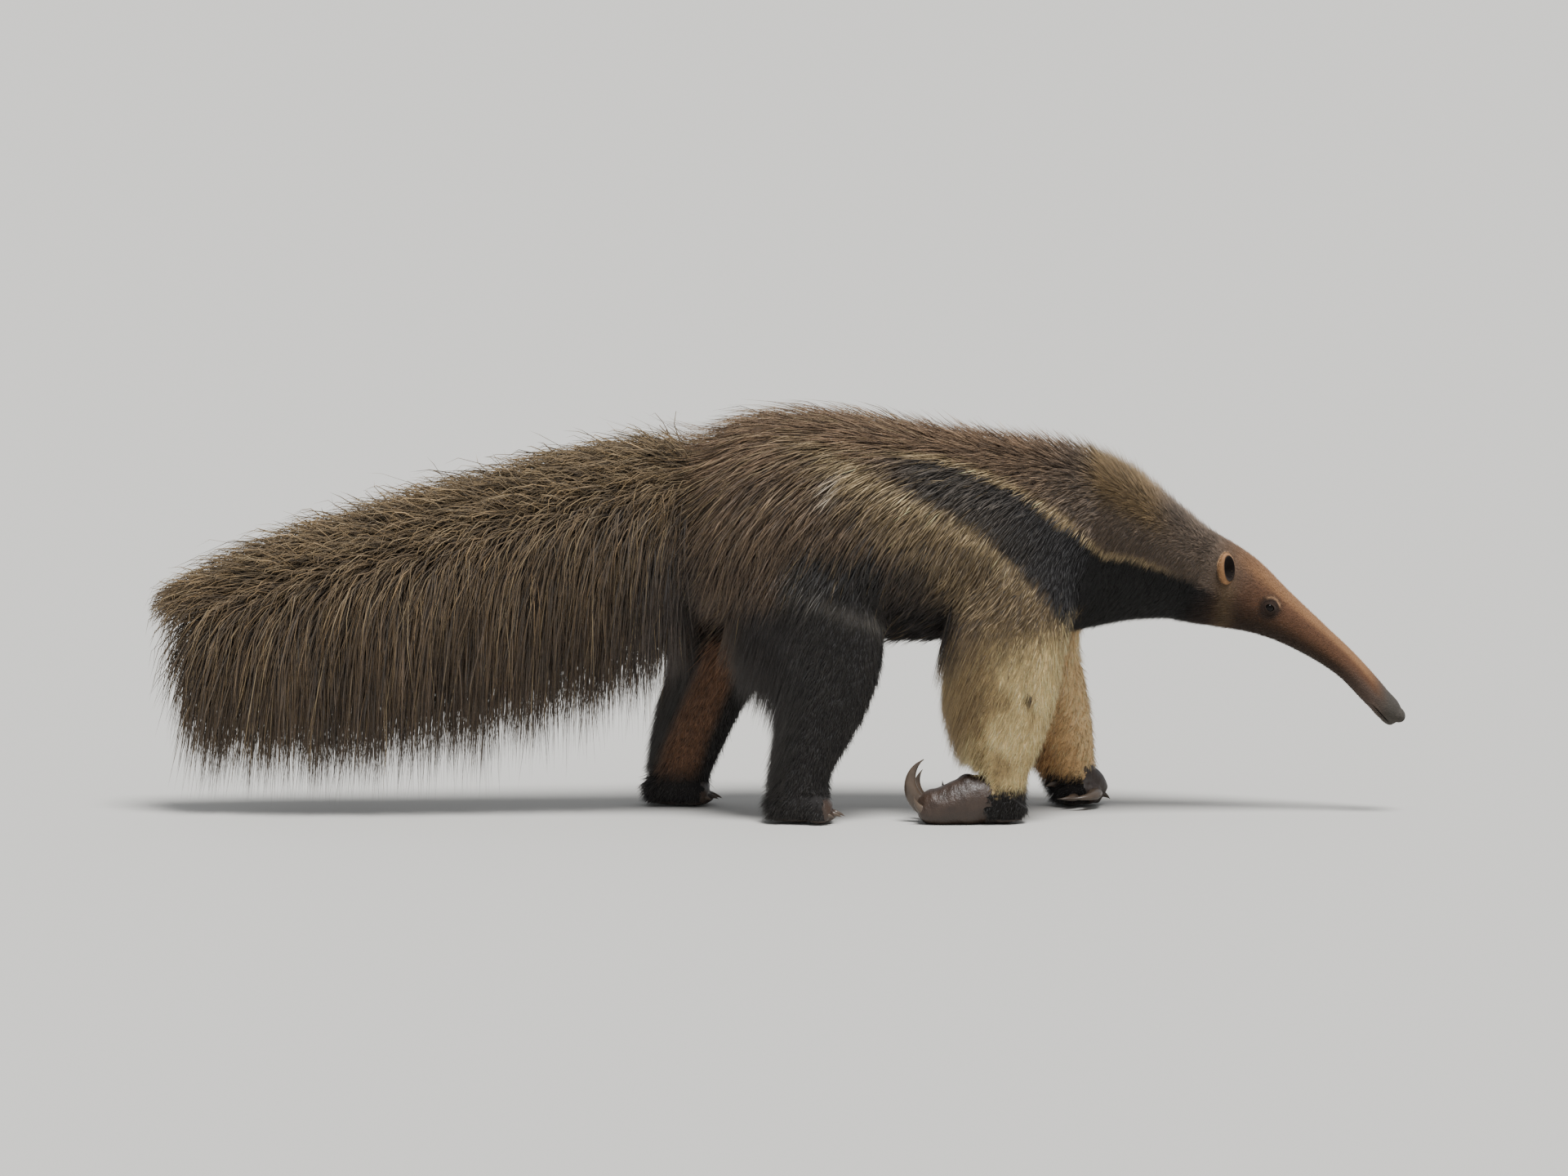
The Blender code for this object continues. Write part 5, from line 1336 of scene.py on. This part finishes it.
def coat_leg(skin, hair, chance, key, count, width):
    """Short hair down the front and sides of a leg, and the long fringe behind it."""
    kind = key[0]
    name = sided(*key)
    weight = np.interp(rear_of(skin.centres, key), (0, 110, 180), (0.9, 1.0, 1.5))
    roots, normals = skin.sow(skin.regions == name, count, chance, weight)
    z = roots[:, 2]
    rear = rear_of(roots, key)
    fringe = blend(115, 160, rear)
    long = np.interp(z, (0.04, 0.09, 0.16, 0.25, 0.35), (0.010, 0.028, 0.060, 0.085, 0.100))
    long = long * (1.3 if kind == "hindleg" else 1.1)
    short = np.interp(z, (0.03, 0.08, 0.15, 0.28, 0.40), (0.011, 0.015, 0.018, 0.026, 0.040))
    length = (short * (1 - fringe) + long * fringe) * chance.uniform(0.7, 1.2, count)
    rise = np.interp(z, (0.05, 0.30, 0.42), (0.004, 0.006, 0.010)) * (1 - fringe) + 0.030 * fringe
    rise = rise * chance.uniform(0.4, 1.1, count)
    back = np.interp(rear, (0, 40, 120, 180), (-0.15, -0.70, -0.70, -0.35))
    start = unit(np.stack([back, 0 * z, 0 * z - 0.85], axis=1))
    end = unit(np.stack([back * 0.6, 0 * z, 0 * z - 1], axis=1))
    paths = lay_hair(skin, roots, normals, start, end, length, rise, 2, 0.92 - 0.75 * fringe)
    paths = gather(paths, chance, 0.06, 0.60)
    paths = ruffle(paths, chance, 0.0035)
    paths[:, :, 2] = np.maximum(paths[:, :, 2], 0.003)
    middles = (roots + paths[:, -1]) / 2
    root, tip = markings(middles, chance)
    leg_markings(middles, root, tip, key, chance)
    colours = tinted(roots, root, tip, chance, 0.32)
    foot = LEGS[key][-1]
    tuft_piece("coat_" + name, paths, normals, width * chance.uniform(0.7, 1.3, count), colours,
               ((foot.x, foot.y, 0.0), (foot.x, foot.y + 1e-4, 0.45)), hair, chance)


def clear_of_ears(roots):
    """How much shorter the hair is close to the ears, so that it leaves them clear."""
    gap = np.linalg.norm(np.abs(roots) - (0.711, 0.052, 0.386), axis=1)
    return np.interp(gap, (0.020, 0.055), (0.30, 1.0))


def coat_ear(cup, side, hair, chance):
    """Fine pale hair on the back and rim of an ear."""
    skin, count = Skin(cup), EAR_TUFTS
    outside = skin.normals @ mirror(EAR_FACING, side) < 0.35
    outside &= np.sum(skin.normals * (skin.centres - mirror((0.7135, 0.055, 0.398), side)), axis=1) > 0
    roots, normals = skin.sow(outside, count, chance)
    start = np.tile(mirror((-0.35, 0.10, 1.0), side), (count, 1))
    length = chance.uniform(0.003, 0.006, count)
    paths = lay_hair(skin, roots, normals, start, unit(start), length, length * 0.35, 3, 0.5)
    paths = ruffle(paths, chance, 0.0006)
    root, tip = (np.tile(linear(code), (count, 1)) for code in ("6b4c34", "a98662"))
    colours = tinted(roots, root, tip, chance, 0.2)
    width = 0.0008 * chance.uniform(0.7, 1.2, count)
    axis = (mirror((0.71, 0.047, 0.37), side), mirror((0.70, 0.062, 0.42), side))
    tuft_piece(sided("coat_ear", side), paths, normals, width, colours, axis, hair, chance)


def from_eye(points):
    """How far each point lies from the middle of an eye, seen from the side."""
    return np.hypot(points[:, 0] - EYE_CENTRE.x, points[:, 2] - EYE_CENTRE.z)


def coat_head(skin, hair, chance):
    """Velvet-short hair that grows shorter towards the nose."""
    count, centres = HEAD_TUFTS, skin.centres
    bare = (from_eye(centres) < 0.0098) | (cup_reach(centres) < 1.1)
    wanted = (skin.regions == "head") & (centres[:, 0] < 0.972) & ~bare
    roots, normals = skin.sow(wanted, count, chance)
    x = roots[:, 0]
    rows = smooth_rows((*NECK, *FACE), 80)
    rise_back = np.interp(x, rows[:, 0], np.gradient(rows[:, 2], rows[:, 0]))
    start = unit(np.stack([0 * x - 1, 0 * x, -rise_back - 0.25 * (normals[:, 2] < 0.3)], axis=1))
    places = (0.66, 0.70, 0.75, 0.82, 0.97)
    length = np.interp(x, places, (0.022, 0.016, 0.011, 0.008, 0.004)) * chance.uniform(0.7, 1.25, count)
    length *= clear_of_ears(roots) * np.interp(from_eye(roots), (0.010, 0.022), (0.22, 1.0))
    rise = np.interp(x, places, (0.011, 0.0065, 0.0034, 0.0022, 0.0010))
    rise *= chance.uniform(0.4, 1.1, count) * np.minimum(1, 2 * clear_of_ears(roots))
    paths = lay_hair(skin, roots, normals, start, start, length, rise, 2, 0.95)
    paths = ruffle(paths, chance, 0.0007)
    root, tip = markings(paths[:, 0], chance)
    face_markings(paths[:, 0], root, tip)
    colours = tinted(roots, 0.4 * root + 0.6 * tip, tip, chance, 0.14)
    width = np.interp(x, (0.66, 0.80, 0.97), (0.0015, 0.0012, 0.0009)) * chance.uniform(0.8, 1.2, count)
    tuft_piece("coat_head", paths, normals, width, colours, ((0.66, 0, 0.385), (0.99, 0, 0.15)), hair, chance)


# Pieces ------------------------------------------------------------------------

def claw(name, root, heading, bend, length, radius, curl):
    """A horn claw: a disc extruded along an arc, shrinking to a point."""
    steps = CLAW_RINGS - 1
    direction, point, curl = Vector(heading).normalized(), Vector(root), Vector(curl)
    turn = Matrix.Rotation(math.radians(bend) / steps, 3, curl)
    across = direction.cross(curl).normalized()
    beside = across.cross(direction).normalized()
    start = Matrix((across, beside, direction)).transposed().to_euler()
    centres, sizes = [], []
    for i in range(CLAW_RINGS):
        centres.append(point.copy())
        sizes.append(radius * max(0.05, 1 - (i / steps)**1.5))
        point = point + direction * length / steps
        direction = turn @ direction
    nothing_selected()
    bpy.ops.mesh.primitive_circle_add(vertices=CLAW_SIDES, radius=radius, fill_type="NGON",
                                      location=centres[0], rotation=start)
    piece = settle(bpy.context.object, name)
    bpy.ops.object.mode_set(mode="EDIT")
    bpy.ops.mesh.select_all(action="SELECT")
    axis, flat = ("Y", (1, CLAW_FLATNESS, 1)) if abs(curl.y) > 0.5 else ("Z", (1, 1, CLAW_FLATNESS))
    bpy.ops.transform.resize(value=flat, center_override=centres[0])
    for i in range(1, CLAW_RINGS):
        bpy.ops.mesh.extrude_region_move(TRANSFORM_OT_translate={"value": centres[i] - centres[i - 1]})
        bpy.ops.transform.rotate(value=-math.radians(bend) / steps, orient_axis=axis,
                                 center_override=centres[i])
        bpy.ops.transform.resize(value=(sizes[i] / sizes[i - 1],) * 3, center_override=centres[i])
    bpy.ops.mesh.select_all(action="SELECT")
    bpy.ops.mesh.normals_make_consistent(inside=False)
    bpy.ops.object.mode_set(mode="OBJECT")
    bpy.ops.object.shade_smooth_by_angle(angle=math.radians(50))
    return piece


def hind_claws():
    """The small claws of the hind feet, one on each toe."""
    for side in (RIGHT, LEFT):
        for number, (spread, toe) in enumerate(toes_of(side), 1):
            yield (f"claw_hind_{SIDE_NAMES[side]}_{number}", toe + Vector((0.008, 0.001 * spread, 0.002)),
                   (1, 0.10 * spread, 0.12), 44, 0.024 - 0.005 * abs(spread - 0.1), 0.0048, LATERAL)


def colour_skin(piece, chance):
    """Gives the skin the coat's markings."""
    points = read(piece.data.vertices, "co")
    root, tip = markings(points, chance)
    regions = region_of(points)
    for key in LEGS:
        repaint(leg_markings, regions == sided(*key), points, root, tip, key, chance)
    repaint(face_markings, regions == "head", points, root, tip)
    short = 0.25 + 0.30 * blend(0.70, 0.76, points[:, 0])[:, None]
    set_colour(piece.data, "hide_colour", sunned(root * (1 - short) + tip * short))
    beside = folded(points) - np.array(EYE_CENTRE)
    gap = np.linalg.norm(beside * (0.8, 0.6, 1.0), axis=1) + 0.0012 * patches(points, 0.009)
    set_value(piece.data, "eye_gap", gap)


def make_skin():
    hide, leather = skin_material(), leather_material()
    pieces = [make_body(), make_head()]
    pieces += [make_paw(sided("skin_hand", side), rows, count, ("foreleg", side), pads)
               for side, (rows, count, pads) in HANDS.items()]
    pieces += [make_hind_foot(RIGHT), make_hind_foot(LEFT)]
    for piece in pieces:
        piece.data.materials.append(hide)
        piece.data.materials.append(leather)
    for piece in pieces[2:]:
        thin(piece, HAND_SHARE)
    mark_buried(pieces)
    skin = join(pieces, "skin")
    flatten_soles(skin)
    bare = bare_of(read(skin.data.polygons, "center"))
    skin.data.polygons.foreach_set("material_index", bare.astype(int))
    bpy.ops.object.shade_smooth()
    colour_skin(skin, np.random.default_rng(5))
    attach(skin, "root")
    flesh = ["head", "neck", "torso", "tail", "hand_right", "hand_left", "foot_right", "foot_left"]
    flesh += [sided(*key) for key in LEGS]
    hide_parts(*flesh)
    ears = []
    for side in (RIGHT, LEFT):
        cup = ear(side)
        cup.data.materials.append(hide)
        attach(cup, "root")
        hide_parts(sided("ear", side))
        ears.append(cup)
    return skin, ears


def make_claws():
    horn = horn_material()
    for name, *settings in (*CLAWS, *hind_claws()):
        piece = claw(name + "_horn", *settings)
        piece.data.materials.append(horn)
        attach(piece, "root")
        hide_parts(name)


def make_eyes():
    wet = eye_material()
    for side in (RIGHT, LEFT):
        piece = ball(sided("eye", side) + "_ball", eye_place(side), (EYE_RADIUS,) * 3, None, 40)
        bpy.ops.object.shade_smooth()
        piece.data.materials.append(wet)
        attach(piece, "root")
        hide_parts(sided("eye", side))


def make_coat(skin_piece, ears):
    hair = hair_material()
    skin = Skin(skin_piece)
    chance = np.random.default_rng(21)
    for settings in TRUNK_COATS:
        coat_trunk(skin, hair, chance, *settings)
    for settings in TAIL_COATS:
        coat_tail(skin, hair, chance, *settings)
    for key, (count, width, _) in LEG_COATS.items():
        coat_leg(skin, hair, chance, key, count, width)
    coat_head(skin, hair, chance)
    for side, cup in zip((RIGHT, LEFT), ears):
        coat_ear(cup, side, hair, chance)


# Studio ------------------------------------------------------------------------

def make_studio():
    """A camera at the photo's angle, a plain pale floor and soft light from above."""
    nothing_selected()
    bpy.ops.mesh.primitive_plane_add(size=400, location=(0, 0, 0))
    floor = settle(bpy.context.object, "floor")
    floor.data.materials.append(new_material("pale_paper", Base_Color="bcbab5", Roughness=0.9)[0])
    place = VIEW_TARGET + Vector((0, -math.cos(ELEVATION), math.sin(ELEVATION))) * VIEW_DISTANCE
    bpy.ops.object.camera_add(location=place, rotation=(math.pi / 2 - ELEVATION, 0, 0))
    camera = bpy.context.object
    camera.data.lens = SENSOR_WIDTH * VIEW_DISTANCE / VIEW_WIDTH
    camera.data.sensor_width = SENSOR_WIDTH
    camera.data.clip_end = 100
    bpy.context.scene.camera = camera
    bpy.ops.object.light_add(type="SUN", location=(0, -2, 5))
    sun = bpy.context.object
    sun.name = "soft_sun"
    sun.data.energy = SUN_POWER
    sun.data.angle = SUN_SPREAD
    sun.rotation_euler = SUN_HEADING.to_track_quat("-Z", "Y").to_euler()
    world = bpy.data.worlds.new("soft_sky")
    bpy.context.scene.world = world
    world.use_nodes = True
    sky = world.node_tree.nodes["Background"]
    sky.inputs["Color"].default_value = SKY_COLOUR
    sky.inputs["Strength"].default_value = SKY_STRENGTH


def main():
    skin, ears = make_skin()
    make_coat(skin, ears)
    make_claws()
    make_eyes()
    make_studio()


main()
